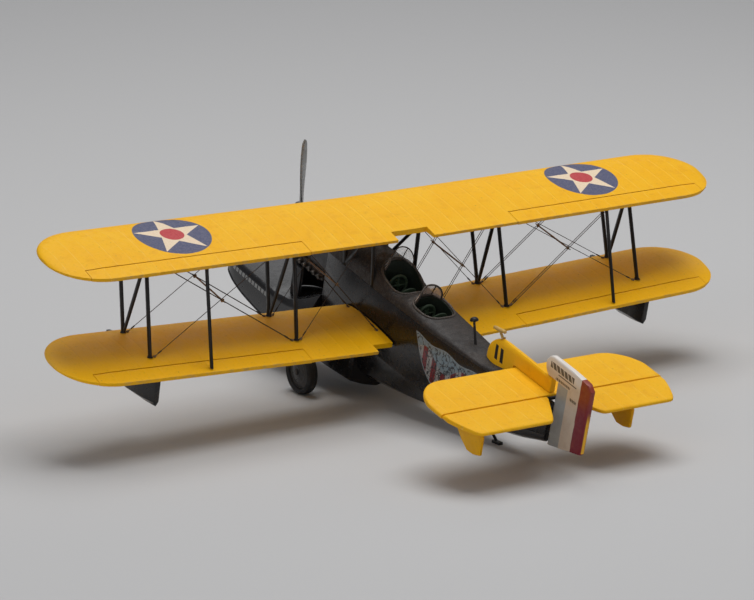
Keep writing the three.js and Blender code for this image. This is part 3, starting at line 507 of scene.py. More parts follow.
def ring_shell(bm, rings, closed=False):
    """Joins rings of the same number of points into one closed skin, capped at both ends."""
    rows = [[bm.verts.new(p) for p in ring] for ring in rings]
    pairs = list(zip(rows, rows[1:]))
    if closed:
        pairs.append((rows[-1], rows[0]))
    for near, far in pairs:
        count = len(near)
        for i in range(count):
            j = (i + 1) % count
            bm.faces.new((near[i], near[j], far[j], far[i]))
    if not closed:
        bm.faces.new(rows[0])
        bm.faces.new(rows[-1])


def axis_place(point, along):
    """A frame at a point whose upward axis runs along a direction."""
    return Matrix.Translation(point) @ Vector(along).to_track_quat("Z", "Y").to_matrix().to_4x4()


def tube(bm, points, radius, sides=8, loop=False):
    """A round rod along the points; radius is one number, or one for each point."""
    radii = radius if isinstance(radius, list) else [radius] * len(points)
    rings = []
    side = None
    for i, point in enumerate(points):
        before = points[i - 1] if i or loop else point
        after = points[(i + 1) % len(points)] if i + 1 < len(points) or loop else point
        along = (after - before).normalized()
        if side is None:
            side = along.orthogonal()
        side = (side - along * side.dot(along)).normalized()
        up = along.cross(side)
        rings.append([point + (side * cos(a) + up * sin(a)) * radii[i] for a in turns(sides)])
    ring_shell(bm, rings, loop)


def turned(bm, profile, place, sides=32, loop=False):
    """A lathe solid from (radius, height) pairs that run from axis to axis, or round a loop."""
    rows = []
    for radius, height in profile:
        angles = turns(sides if radius > 1e-6 else 1)
        rows.append([bm.verts.new(place @ at(radius * cos(a), radius * sin(a), height)) for a in angles])
    pairs = list(zip(rows, rows[1:])) + ([(rows[-1], rows[0])] if loop else [])
    for near, far in pairs:
        for k in range(sides):
            j = (k + 1) % sides
            corners = [near[k % len(near)], near[j % len(near)], far[j % len(far)], far[k % len(far)]]
            distinct = list(dict.fromkeys(corners))
            if len(distinct) > 2:
                bm.faces.new(distinct)


def carved(solid, cutters):
    """The solid with the cutters taken away; all are bmeshes in airframe millimetres."""
    blocks = []
    for bm in (solid, *cutters):
        bmesh.ops.recalc_face_normals(bm, faces=bm.faces)
        mesh = bpy.data.meshes.new("block")
        bm.to_mesh(mesh)
        bm.free()
        block = bpy.data.objects.new("block", mesh)
        bpy.context.scene.collection.objects.link(block)
        blocks.append(block)
    for cutter in blocks[1:]:
        cut = blocks[0].modifiers.new("cut", "BOOLEAN")
        cut.operation = "DIFFERENCE"
        cut.object = cutter
    result = bmesh.new()
    result.from_object(blocks[0], bpy.context.evaluated_depsgraph_get())
    for block in blocks:
        bpy.data.meshes.remove(block.data)
    return result


def smooth_row(table, y):
    """A table's values at y, on a smooth curve that never passes beyond its rows."""
    last = len(table) - 1
    y = min(max(y, table[0][0]), table[last][0])
    i = max(k for k in range(last) if table[k][0] <= y)
    step = table[i + 1][0] - table[i][0]
    t = (y - table[i][0]) / step

    def gradient(k, column):
        return (table[k + 1][column] - table[k][column]) / (table[k + 1][0] - table[k][0])

    def slope(k, column):
        before, after = gradient(max(k - 1, 0), column), gradient(min(k, last - 1), column)
        return 0.0 if before * after <= 0 else 2 * before * after / (before + after)

    values = []
    for column in range(1, len(table[0])):
        start, end = table[i][column], table[i + 1][column]
        leave, arrive = slope(i, column) * step, slope(i + 1, column) * step
        values.append(start + t * leave + t * t * (3 * (end - start) - 2 * leave - arrive)
                      + t ** 3 * (2 * (start - end) + leave + arrive))
    return values


def soft_max(a, b, blend):
    """The greater of a and b, easing from one to the other where they lie within the blend."""
    reach = max(blend - abs(a - b), 0.0) / blend
    return max(a, b) + reach * reach * blend / 4


def smoothstep(value, low, high):
    t = min(max((value - low) / (high - low), 0.0), 1.0)
    return t * t * (3 - 2 * t)


def rib_relief(x, cap=0.045, sag=0.02, half=0.2):
    """How far the cloth stands off its plain section: a cap strip on each rib, hollows between ribs."""
    step = (abs(x) / RIB_PITCH) % 1
    from_rib = min(step, 1 - step) * RIB_PITCH
    return cap * exp(-((from_rib / half) ** 2)) - sag * sin(pi * step) ** 2


def rib_stations(low, high):
    """Stations from low to high, close together on each rib and further apart between them."""
    offsets = (-0.6, -0.36, -0.2, -0.08, 0.08, 0.2, 0.36, 0.6, 1.1, 1.6, 2.1, 2.6, 3.1)
    found = {low, high}
    for rib in range(int(low // RIB_PITCH) - 1, int(high // RIB_PITCH) + 2):
        for offset in offsets:
            x = rib * RIB_PITCH + offset
            if low + 0.03 < x < high - 0.03:
                found.add(x)
    return sorted(found)


# ------------------------------------------------------------------ wings
def upper_curve(f):
    return 4 * sqrt(f) * (1 - f) + 0.42 * f


def lower_curve(f):
    return -(0.9 * sqrt(f) * (1 - f) + 0.42 * f)


def chord_fractions(*breaks):
    """Positions along the chord from the leading edge, close together at the nose, and on each break."""
    nose = [0.5 * (1 - cos(pi * i / 16)) * 0.5 for i in range(17)]
    rest = [0.5 + 0.5 * i / 12 for i in range(1, 12)]
    spots = sorted({round(f, 5) for f in [*nose, *rest, 0.992, 1.0, *breaks]})
    kept = [spots[0]]
    for f in spots[1:]:
        crowded = f - kept[-1] < 0.006 and f not in breaks and f < 0.99
        if not crowded:
            kept.append(f)
    return kept


def planform(x):
    """Half chord and thickness share at a station, both shrinking round the tip."""
    t = max(0.0, (abs(x) - (TIP_END - TIP)) / TIP)
    half = CHORD / 2 * sqrt(max(1 - t ** 2.3, 0.0))
    return half, (2 * half / CHORD) ** 0.6


def chord_share(wing, x, y):
    """Where y lies along the chord at a station, from 0 at the leading edge to 1 at the trailing edge."""
    half, _ = planform(x)
    return (y - (wing["trail"] - CHORD / 2 - half)) / (2 * half)


def straightened(wing, x, f):
    """Shifts chord positions outboard so that the aileron's hinge line stays straight as the tip narrows."""
    usual = 1 - AILERON["chord"] / CHORD
    here = chord_share(wing, min(abs(x), AILERON["outer"]), wing["trail"] - AILERON["chord"])
    if f <= usual:
        return f * here / usual
    return here + (f - usual) * (1 - here) / (1 - usual)


def wing_point(wing, x, f, over):
    half, thin = planform(x)
    y = wing["trail"] - CHORD / 2 - half + 2 * half * f
    relief = rib_relief(x) * smoothstep(f, 0.0, 0.07) * (1 - smoothstep(f, 0.985, 1.0))
    relief *= 1 - smoothstep(abs(x), 88, 93)
    height = thin * (upper_curve(f) + relief) if over else thin * (lower_curve(f) - 0.6 * relief)
    return at(x, y, wing["z"] + abs(x) * wing["rise"] + height)


def wing_ring(wing, x, fractions, cut, hollow):
    """One closed section. Behind the cut its points gather on a wall, hollowed for an aileron to turn in."""

    def on_skin(f, over):
        return wing_point(wing, x, straightened(wing, x, f), over)

    def spot(f, over):
        if f <= cut + 1e-6:
            return on_skin(f, over)
        part = (f - cut) / (1 - cut)
        top = on_skin(cut, True)
        bottom = on_skin(cut, False)
        middle = (top + bottom) / 2
        inward = at(0, hollow * sqrt(1 - (1 - part) ** 2), 0)
        return (top if over else bottom).lerp(middle, part) - inward

    over = [spot(f, True) for f in reversed(fractions)]
    under = [spot(f, False) for f in fractions[1:]]
    return over + under[:-1] + [under[-1].lerp(over[0], 0.35)]


def wing_skin(wing, first, last):
    """Rings from station first to last, with square openings for the ailerons and the notch."""
    aileron_cut = round(1 - AILERON["chord"] / CHORD, 5)
    notch_cut = round(1 - wing["notch_depth"] / CHORD, 5)
    fractions = chord_fractions(aileron_cut, notch_cut)

    def cut_at(x):
        if abs(x) < wing["notch"]:
            return notch_cut
        if wing["inner"] < abs(x) < AILERON["outer"]:
            return aileron_cut
        return 1.0

    steps = [side * spot for side in (-1, 1) for spot in (wing["notch"], wing["inner"], AILERON["outer"])]
    tips = [TIP_END - TIP * (1 - t) for t in (0.62, 0.7, 0.78, 0.85, 0.9, 0.94, 0.97, 0.985)] + [SPAN_HALF]
    stations = set(rib_stations(max(first, -92), min(last, 92)))
    stations |= {side * x for side in (-1, 1) for x in tips}
    stations = sorted(x for x in stations if first <= x <= last and all(abs(x - s) > 0.03 for s in steps))
    marks = [(x, cut_at(x)) for x in stations]
    for step in steps:
        if first < step < last:
            marks.append((step, cut_at(step - 1e-4)))
            marks.append((step + 1e-7, cut_at(step + 1e-4)))
    marks.sort()
    return [wing_ring(wing, x, fractions, cut, AILERON["bay_hollow"] if cut == aileron_cut else 0.0)
            for x, cut in marks]


def aileron_skin(wing):
    """Rings of an aileron on the port side, rounded at its hinge line."""
    rings = []
    for x in rib_stations(wing["inner"] + AILERON["end_gap"], AILERON["outer"] - AILERON["end_gap"]):
        front = chord_share(wing, x, wing["trail"] - AILERON["chord"] + AILERON["gap"])
        fractions = [front + (1 - front) * i / 10 for i in range(11)]
        over = [wing_point(wing, x, f, True) for f in reversed(fractions)]
        under = [wing_point(wing, x, f, False) for f in fractions]
        over[-1].z -= 0.08
        over[-2] = over[-2].lerp(over[-1], 0.6)
        over[-2].z += 0.05
        under[0].z += 0.06
        rings.append(over + under)
    return rings


def mirrored(rings, side):
    return [[at(side * p.x, p.y, p.z) for p in ring] for ring in rings]


def skin_piece(name, rings, look, replaces, body="root", sharp=38):
    bm = bmesh.new()
    ring_shell(bm, rings)
    bmesh.ops.remove_doubles(bm, verts=bm.verts, dist=1e-5)
    piece(name, bm, look, replaces, body, sharp)


def build_wings():
    skin_piece("upper_wing_skin", wing_skin(UPPER, -SPAN_HALF, SPAN_HALF), "roundel", "upper_wing")
    for side, sign in SIDES.items():
        rings = mirrored(wing_skin(LOWER, ROOT, SPAN_HALF), sign)
        skin_piece(f"lower_wing_skin_{side}", rings, "lower_yellow", f"lower_wing_{side}")
        for level, wing in (("upper", UPPER), ("lower", LOWER)):
            node = f"aileron_{level}_{side}"
            skin_piece(f"{node}_skin", mirrored(aileron_skin(wing), sign), f"{level}_yellow", node, node)


# ------------------------------------------------------------------ tail
def plate_rings(stations, front, rear, height, place, rounding, end_round=0.0, points=16):
    """Rings of a flat plate that rounds off, over the given widths, at its edges (front, rear) and ends."""
    first, last = stations[0], stations[-1]
    rings = []
    for s in stations:
        lead, trail = front(s), rear(s)
        over, under = [], []
        for i in range(points + 1):
            c = lead + (trail - lead) * 0.5 * (1 - cos(pi * i / points))
            inset = min((c - lead) / rounding[0], (trail - c) / rounding[1])
            if end_round:
                inset = min(inset, (s - first) / end_round, (last - s) / end_round)
            share = min(inset, 1.0)
            thick = height(s, c) * (0.25 + 0.75 * sqrt(max(1 - (1 - share) ** 2, 0.0)))
            over.append(place(s, c, thick))
            under.append(place(s, c, -thick))
        rings.append(over + under[::-1])
    return rings


def build_tail():
    z = TAIL["z"]

    def flat(s, c, n):
        return at(s, c, z + n)

    half = TAIL["half"]
    corner_width, corner_depth = 9, 11

    def stabilizer_front(x):
        t = max(0.0, (abs(x) - half + corner_width) / corner_width)
        return TAIL["lead"] + corner_depth - corner_depth * sqrt(max(1 - min(t, 1) ** 2, 0.0))

    def stabilizer_height(x, _):
        return 0.68 + 0.8 * rib_relief(x)

    ends = [half - 0.05, half - 0.15, half - 0.3, half - 0.5]
    inner = rib_stations(-half + 0.8, half - 0.8)
    stations = sorted({-half, half, *inner, *ends, *(-e for e in ends)})
    rings = plate_rings(stations, stabilizer_front, lambda x: TAIL["rear"], stabilizer_height, flat,
                        (0.9, 0.25), 0.8)
    skin_piece("stabilizer_skin", rings, "tail_yellow", "stabilizer")

    lead = TAIL["hinge"] - 0.2

    def elevator_rear(x):
        inboard = lead + 0.5 + (x - 1.9) * (TAIL["trail"] - lead) / 5.4
        outboard = lead + 0.4 + (TAIL["trail"] - lead) * (max(half - 0.2 - x, 0.0) / 3.9) ** 0.7
        return -soft_max(-TAIL["trail"], soft_max(-inboard, -outboard, 0.5), 1.8)

    stations = [half - 0.2 - 0.4 * i for i in range(14)] + [1.9 + 0.45 * i for i in range(15)]
    stations = sorted({*stations, *rib_stations(8.4, half - 6.0)})

    def elevator_height(s, c):
        taper = 1 - 0.2 * (c - lead) / (TAIL["trail"] - lead)
        return (0.62 + 0.7 * rib_relief(s)) * taper

    for side, sign in SIDES.items():
        rings = plate_rings(stations, lambda x: lead, elevator_rear, elevator_height, flat, (0.25, 0.6), 0.4)
        skin_piece(f"elevator_skin_{side}", mirrored(rings, sign), "tail_yellow", f"elevator_{side}",
                   "elevators")


def build_rudder():
    """An upright plate with a horn ahead of the hinge at its top, a slanted foot and a rounded crown."""
    post, trail, foot, top = 38.35, 50.9, 15.0, 36.68
    horn_foot, horn_middle, horn_half, horn_rear, horn_depth = 31.55, 33.8, 2.9, 36.4, 3.4
    slant, slope_foot, slope, crown_foot, crown_depth = 12.4 / 3.6, 34.9, 1.18, 36.0, 13.2

    def front(z):
        if z < horn_foot:
            return post
        reach = max(1 - ((z - horn_middle) / horn_half) ** 2, 0.0)
        return horn_rear - horn_depth * sqrt(reach)

    def rear(z):
        lower_edge = 38.5 + (z - foot) * slant
        upper_edge = trail - (z - slope_foot) * slope
        rounded = max(top - z, 0.0) / (top - crown_foot)
        crown = horn_rear + crown_depth * sqrt(rounded) if z > crown_foot else trail
        return min(lower_edge, trail, upper_edge, crown)

    stations = [foot, 15.1, 15.3, 15.6] + [16 + 0.5 * i for i in range(31)]
    stations += [horn_foot - 0.01, horn_foot + 0.01, 31.8, 32.2, 32.6, 33, 33.4, 33.8, 34.2, 34.6,
                 slope_foot, 35.2, 35.6, crown_foot, 36.2, 36.4, 36.55, 36.66]
    stations = sorted({round(s, 3) for s in stations})
    rings = plate_rings(stations, front, rear, lambda z, y: 0.74, lambda z, y, x: at(x, y, z),
                        (0.7, 0.6), 0.7)
    skin_piece("rudder_skin", rings, "rudder", "rudder", "rudder")


def fin_half(level, share):
    """Half thickness of the fin at a height level (0 to 1) and a share of the way back along it."""
    crown = sqrt(1 - max(0.0, (level - 0.8) / 0.2) ** 2 * 0.8)
    half = crown * (FIN["foot_half"] + (FIN["top_half"] - FIN["foot_half"]) * level)
    nose = sqrt(max(1 - (1 - min(share / 0.2, 1)) ** 2, 0.0))
    rear = min(half, FIN["rear_half"]) / half
    return half * nose * (1 - (1 - rear) * max(0.0, (share - 0.2) / 0.8))


def build_mast():
    """A raked post with a domed cap, on a small foot."""
    foot, head = at(0, 5.2, 24.1), at(0, 3.0, 29.9)
    bm = bmesh.new()
    tube(bm, [foot - (head - foot) * 0.02, foot.lerp(head, 0.5), head], [0.36, 0.33, 0.3], 16)
    turned(bm, [(0, -0.1), (0.75, -0.1), (0.7, 0.12), (0.42, 0.3), (0, 0.3)], axis_place(foot, (0, 0, 1)), 20)
    turned(bm, [(0, -0.25), (0.5, -0.3), (0.95, -0.35), (1.08, -0.2), (1.05, 0.05), (0.85, 0.4), (0.5, 0.62),
                (0, 0.7)], axis_place(head, head - foot), 28)
    piece("mast_domed", bm, "strut", "mast")


def build_fin():
    height = FIN["top"] - FIN["foot"]
    on_plane = TAIL["z"] + 0.82
    plane_lead = TAIL["lead"] - 0.5
    steps = 22
    stations = [FIN["lead"] + 0.04 + FIN["sweep"] * (i / 20) ** 2 for i in range(21)]
    stations += [16 + 0.8 * i for i in range(8)]
    marks = [(y, FIN["foot"]) for y in stations if y < plane_lead]
    marks += [(plane_lead, FIN["foot"])]
    marks += [(plane_lead + 0.01 + (FIN["rear"] - plane_lead - 0.01) * i / 16, on_plane) for i in range(17)]
    rings = []
    for y, bottom in marks:
        swept = max(y - FIN["lead"], 0.0) / FIN["sweep"]
        top_level = min(swept ** (1 / 3), 1.0)
        low = (bottom - FIN["foot"]) / height
        port = []
        for i in range(steps + 1):
            level = low + (top_level - low) * sin(pi / 2 * i / steps)
            lead = FIN["lead"] + FIN["sweep"] * level ** 3
            half = fin_half(level, max(y - lead, 0.0) / (FIN["rear"] - lead))
            port.append(at(half, y, FIN["foot"] + height * level))
        rings.append(port + [at(-p.x, p.y, p.z) for p in reversed(port)])
    skin_piece("fin_skin", rings, "fin", "fin")

    bm = bmesh.new()
    foot, head = at(0, 15.3, 30.6), at(0, 13.4, 32.3)
    tube(bm, [foot, foot.lerp(head, 0.5), head], [0.36, 0.32, 0.34], 12)
    bar = [head + at(0, 2.3 * t, 0.42 * t + 0.1) for t in (-1, -0.94, -0.6, 0, 0.6, 0.94, 1)]
    tube(bm, bar, [0.16, 0.40, 0.46, 0.46, 0.46, 0.40, 0.16], 12)
    collar = axis_place((0, 15.3, 30.95), head - foot)
    turned(bm, [(0, 0), (0.62, 0), (0.55, 0.22), (0.3, 0.3), (0, 0.3)], collar, 16)
    piece("antenna_post", bm, "ochre")


# ------------------------------------------------------------------ struts, fittings and rigging
def skin_height(wing, x, y, curve):
    """How high a wing's skin is over a point, on its upper or lower curve."""
    share = min(max((y - wing["trail"] + CHORD) / CHORD, 0.0), 1.0)
    return wing["z"] + abs(x) * wing["rise"] + curve(share)


def foot_at(x, y):
    return at(x, y, skin_height(LOWER, x, y, upper_curve))


def head_at(x, y):
    """The upper end of whatever stands on the lower wing at y."""
    return at(x, y + STAGGER, skin_height(UPPER, x, y + STAGGER, lower_curve))


def strut(bm, foot, head, chord, width):
    """A streamlined strut, a little slimmer at both ends."""
    rings = []
    for share in (0, 0.03, 0.1, 0.25, 0.5, 0.75, 0.9, 0.97, 1):
        centre = foot.lerp(head, share)
        scale = (0.66 + 0.34 * sin(pi * share) ** 0.5) / 2
        rings.append([centre + at(width * cos(a), chord * sin(a) * (1.0 if a > pi else 1.25), 0) * scale
                      for a in turns(16)])
    ring_shell(bm, rings)


def fitting(bm, point, along, size=1.0):
    """A small flared socket where a strut meets a wing."""
    profile = [(0, -0.05), (0.86, -0.05), (0.84, 0.12), (0.6, 0.3), (0.5, 0.62), (0.44, 0.7), (0, 0.7)]
    place = axis_place(point, along) @ Matrix.Diagonal((0.8 * size, 1.25 * size, size, 1))
    turned(bm, profile, place, 16)


def build_struts():
    for side, sign in SIDES.items():
        sockets = bmesh.new()
        for bay in ("outboard", "inboard"):
            x = sign * STRUT[bay]
            lean = sign * STRUT["lean"]
            foot = foot_at(x, STRUT["front"] + 0.35)
            head = head_at(x - lean, STRUT["rear"] - 0.3)
            bm = bmesh.new()
            strut(bm, foot + at(0, 0, 0.2), head - at(0, 0, 0.15), 1.2, 0.66)
            piece(f"strut_{bay}_diagonal_{side}_faired", bm, "strut", f"strut_{bay}_diagonal_{side}")
            for y in (STRUT["front"], STRUT["rear"]):
                low, high = foot_at(x, y), head_at(x - lean, y)
                fitting(sockets, low, high - low)
                fitting(sockets, high, low - high)
        for y in (-44.6, -31.6):
            fitting(sockets, (sign * 5.98, y, 22.85), (0, 0, 1), 0.9)
        piece(f"strut_sockets_{side}", sockets, "strut")


def wire(bm, start, end, radius=0.085):
    """One bracing wire with a turnbuckle near its lower end."""
    tube(bm, [start.lerp(end, t) for t in (0, 0.25, 0.5, 0.75, 1)], radius, 8)
    length = (end - start).length
    buckle = [start.lerp(end, (1.2 + t) / length) for t in (0, 0.15, 0.7, 1.25, 1.4)]
    tube(bm, buckle, [radius, 1.9 * radius, 2.1 * radius, 1.9 * radius, radius], 8)


def build_bay(wires, fittings, inner, outer, sign):
    """Doubled flying wires and single landing wires, tied where they cross.

    inner and outer are the bay's sides, each as (foot x, top x).
    """
    tie = [(0, -0.2), (0.34, -0.16), (0.48, 0), (0.34, 0.16), (0, 0.2)]
    lug = [(0, -0.05), (0.42, -0.05), (0.36, 0.2), (0.16, 0.75), (0, 0.8)]
    crossings = []
    for y in (STRUT["front"], STRUT["rear"]):
        low_in, low_out = foot_at(sign * inner[0], y), foot_at(sign * outer[0], y)
        high_in, high_out = head_at(sign * inner[1], y), head_at(sign * outer[1], y)
        for offset in (-0.3, 0.3):
            beside = at(0, offset, 0)
            wire(wires, low_in + beside, high_out + beside)
        wire(wires, low_out, high_in)
        share = (low_out.x - low_in.x) / (high_out.x - low_in.x - high_in.x + low_out.x)
        crossing = low_in.lerp(high_out, share)
        crossings.append(crossing)
        across = axis_place(crossing, high_out - low_in) @ Matrix.Diagonal((0.75, 1.15, 1.9, 1))
        turned(fittings, tie, across, 12)
        for end, other in ((low_in, high_out), (high_out, low_in), (low_out, high_in), (high_in, low_out)):
            turned(fittings, lug, axis_place(end, other - end), 10)
    front, rear = crossings
    along = (rear - front).normalized()
    tube(fittings, [front - along * 1.2, front, front.lerp(rear, 0.5), rear, rear + along * 1.2],
         [0.1, 0.19, 0.22, 0.19, 0.1], 10)


def build_rigging():
    side_gap = 1.1
    inboard, outboard, lean = STRUT["inboard"], STRUT["outboard"], STRUT["lean"]
    bays = {
        "outboard": ((inboard + side_gap, inboard - lean + side_gap),
                     (outboard - side_gap, outboard - lean - side_gap)),
        "inboard": ((ROOT + side_gap, CABANE_TOP + side_gap),
                    (inboard - side_gap, inboard - lean - side_gap)),
    }
    for side, sign in SIDES.items():
        for bay, (inner, outer) in bays.items():
            wires, fittings = bmesh.new(), bmesh.new()
            build_bay(wires, fittings, inner, outer, sign)
            piece(f"bracing_wires_{bay}_{side}", wires, "thread", f"rigging_{bay}_{side}")
            piece(f"bracing_fittings_{bay}_{side}", fittings, "fitting")


# ------------------------------------------------------------------ decking and cockpits
def deck_height(x, y):
    width, corner, _, crown = smooth_row(BODY, y)
    across = min(abs(x) / (DECK_SPREAD * width), 1.0)
    base = corner + 0.12
    return base + (crown - base) * sqrt(1 - across ** 2) ** 0.62


def deck_ring(y, arch=36):
    width, corner, _, _ = smooth_row(BODY, y)
    half = DECK_SPREAD * width
    ring = [at(half, y, corner + 0.02), at(-half, y, corner + 0.02)]
    for i in range(arch + 1):
        x = -half * cos(pi * i / arch)
        ring.append(at(x, y, deck_height(x, y)))
    return ring


def well_outline(cockpit, grow=0.0, count=72):
    """The egg-shaped rim of a cockpit as (x, y), wider at its front."""
    outline = []
    for angle in turns(count):
        across = copysign(abs(cos(angle)) ** 0.7, cos(angle))
        along = copysign(abs(sin(angle)) ** 0.7, sin(angle))
        x = (cockpit["width"] + grow) * across * (1 - 0.1 * along)
        outline.append((x, cockpit["y"] + (cockpit["length"] + grow) * along))
    return outline


def build_deck():
    rows = [-52 + 89.35 * i / 110 for i in range(111)]
    solid = bmesh.new()
    ring_shell(solid, [deck_ring(y) for y in rows])
    cutters = []
    for cockpit in COCKPITS.values():
        cutter = bmesh.new()
        outline = well_outline(cockpit)
        ring_shell(cutter, [[at(x, y, z) for x, y in outline] for z in (18, 40)])
        cutters.append(cutter)
    piece("turtledeck_skin", carved(solid, cutters), "deck", "turtledeck", sharp=40)

    for name, cockpit in COCKPITS.items():
        rim = [at(x, y, deck_height(x, y) + 0.03) for x, y in well_outline(cockpit, 0.12, 96)]
        bm = bmesh.new()
        tube(bm, rim, [0.30 + 0.03 * cos(i * pi / 4) for i in range(len(rim))], 10, loop=True)
        piece(f"coaming_{name}", bm, "hood")

        outer, inner = well_outline(cockpit, -0.01), well_outline(cockpit, -0.4)
        bm = bmesh.new()
        rows = [[at(x, y, 16.5) for x, y in outer],
                [at(x, y, deck_height(x, y) - 0.2) for x, y in outer],
                [at(x, y, deck_height(x, y) - 0.32) for x, y in inner],
                [at(x, y, 16.5) for x, y in inner]]
        ring_shell(bm, rows, closed=True)
        for level in (19.0, 21.6):
            tube(bm, [at(x, y, level) for x, y in well_outline(cockpit, -0.45)], 0.16, 6, loop=True)
        piece(f"cockpit_lining_{name}", bm, "lining")


def screen_point(cockpit, across, share, inset=0.0, height=4.3):
    """A point of a windscreen: across runs -1 to 1 round its base, share 0 to 1 from base to top."""
    angle = radians(66) * across
    radius = cockpit["width"] - 0.25 - inset
    base_y = cockpit["y"] - cockpit["length"] + cockpit["width"] - 1.0
    x, y = radius * sin(angle), base_y - radius * cos(angle)
    rise = height * max(1 - abs(across) ** 3.2, 0.0) ** 0.5 + 0.35
    lean = at(-0.16 * sin(angle), 0.52, 0.92).normalized()
    return at(x, y, deck_height(x, y) - 0.15) + lean * rise * share


def build_windscreens():
    looks = {"front": ("clear_glass", 4.5, 0.16), "rear": ("pink_glass", 3.9, 0.24)}
    steps, levels = 28, 6
    for name, (look, height, frame_radius) in looks.items():
        cockpit = COCKPITS[name]
        rings = []
        for i in range(steps + 1):
            across = -1 + 2 * i / steps
            outer = [screen_point(cockpit, across, j / levels, 0.0, height) for j in range(levels + 1)]
            inner = [screen_point(cockpit, across, j / levels, 0.14, height) for j in range(levels + 1)]
            rings.append(outer + inner[::-1])
        bm = bmesh.new()
        ring_shell(bm, rings)
        piece(f"windscreen_{name}_pane", bm, look, f"windscreen_{name}")

        bm = bmesh.new()
        spread = [-1 + 2 * i / 40 for i in range(41)]
        for share in (0.0, 1.0):
            tube(bm, [screen_point(cockpit, a, share, 0.07, height) for a in spread], frame_radius, 8)
        for across in (-0.42, 0.42):
            post = [screen_point(cockpit, across, j / 8, 0.07, height) for j in range(9)]
            tube(bm, post, 0.7 * frame_radius, 8)
        piece(f"windscreen_{name}_frame", bm, "hood")


def padded_block(centre, size, tilt=0.0):
    """A crowned cushion: its sides pull in between the corners, and a piped seam runs round its middle."""
    bm = bmesh.new()
    turn = Matrix.Translation(centre) @ Matrix.Rotation(tilt, 4, "X")
    half_x, half_y, half_z = (s / 2 for s in size)

    def outline(share, height):
        ring = []
        for angle in turns(40):
            c, s = cos(angle), sin(angle)
            square = (abs(c) ** 5 + abs(s) ** 5) ** -0.2
            reach = square * share * (1 - 0.05 * cos(4 * angle) * share)
            ring.append(turn @ at(half_x * reach * c, half_y * reach * s, height))
        return ring

    shares = [0.06, 0.3, 0.55, 0.75, 0.88, 0.96, 1.0]
    over = [outline(share, half_z * (1 - share ** 3.4) ** 0.5) for share in shares]
    under = [outline(share, -half_z * (1 - share ** 3.4) ** 0.5) for share in reversed(shares[:-1])]
    ring_shell(bm, over + under)
    tube(bm, outline(1.0, 0.0), 0.09, 6, loop=True)
    return bm


def build_seat(name, cockpit):
    """A bucket on a stem, with a seat cushion and a back cushion."""
    y, foot, back = cockpit["y"], 15.4, cockpit["y"] + 0.2

    def round_back(angle, half, depth, z):
        return at(half * cos(angle), back + depth * sin(angle) ** 0.6, z + SEAT_LIFT)

    def pan(z):
        corners = [at(x, y - 0.8, z + SEAT_LIFT) for x in (-2.95, 2.95)]
        return [round_back(pi * k / 16, 2.95, 2.85, z) for k in range(17)] + corners

    bm = bmesh.new()
    rings = []
    for angle in (pi * i / 32 for i in range(33)):
        top = 19.4 + 2.5 * sin(angle) ** 1.5
        section = ((3.0, foot), (3.0, top), (2.85, top + 0.16), (2.7, top), (2.7, foot))
        rings.append([round_back(angle, half, half - 0.1, z) for half, z in section])
    ring_shell(bm, rings)
    ring_shell(bm, [pan(z) for z in (15.3, 15.45, 16.2, 16.35)])
    stem = foot + SEAT_LIFT
    turned(bm, [(0, WELL_FLOOR + 0.15), (1.1, WELL_FLOOR + 0.15), (0.8, 13.4), (0.8, stem), (0, stem)],
           Matrix.Translation((0, y + 1, 0)), 20)
    piece(f"bucket_seat_{name}", bm, "green", f"seat_{name}")

    for kind, place, size, tilt in (("seat", at(0, y + 1.0, 16.95), (5.0, 3.4, 1.3), 0),
                                    ("back", at(0, y + 2.42, 19.6), (4.0, 3.4, 0.9), radians(84))):
        block = padded_block(place + at(0, 0, SEAT_LIFT), size, tilt)
        cushion = piece(f"{kind}_cushion_{name}", block, "leather")


AFT = Matrix.Rotation(radians(-90), 4, "X")


def build_control_wheel(name, cockpit):
    radius = cockpit["wheel_r"]
    hub = Matrix.Translation((0, cockpit["wheel_y"], cockpit["wheel_z"])) @ AFT
    bm = bmesh.new()
    rim = [hub @ at(radius * cos(a), radius * sin(a), 0) for a in turns(48)]
    tube(bm, rim, [0.34 if i % 4 else 0.30 for i in range(48)], 10, loop=True)
    centre = hub @ at(0, 0, 0.02)
    for end in rim[::12]:
        tube(bm, [centre, centre.lerp(end, 0.3), centre.lerp(end, 0.7), end], [0.3, 0.24, 0.2, 0.26], 8)
    turned(bm, [(0, -0.3), (0.5, -0.3), (0.58, -0.1), (0.5, 0.22), (0.2, 0.34), (0, 0.34)], hub, 20)
    node = f"control_wheel_{name}"
    piece(f"{node}_turned", bm, "green", node, node)


def build_column(name, cockpit):
    """The column that carries the wheel, and a small lever on a rail along the port wall."""
    wheel_y, wheel_z = cockpit["wheel_y"], cockpit["wheel_z"]
    bm = bmesh.new()
    top = at(0, wheel_y - 0.62, wheel_z)
    tube(bm, [at(0, wheel_y + 0.5, WELL_FLOOR + 0.1), at(0, wheel_y + 0.1, 17), top], 0.3, 10)
    turned(bm, [(0, -0.35), (0.5, -0.35), (0.5, 0.22), (0, 0.22)], Matrix.Translation(top) @ AFT, 16)
    lever = at(-3.4, cockpit["y"] + 0.4, 19.5)
    tube(bm, [lever, lever + at(0.1, -0.8, 1.6)], 0.12, 8)
    turned(bm, [(0, -0.3), (0.2, -0.2), (0.3, 0), (0.2, 0.2), (0, 0.3)],
           Matrix.Translation(lever + at(0.1, -0.8, 1.7)), 12)
    tube(bm, [lever + at(-0.1, -2.5, -0.2), lever + at(-0.1, 2.5, -0.4)], 0.2, 8)
    piece(f"control_column_{name}", bm, "green")


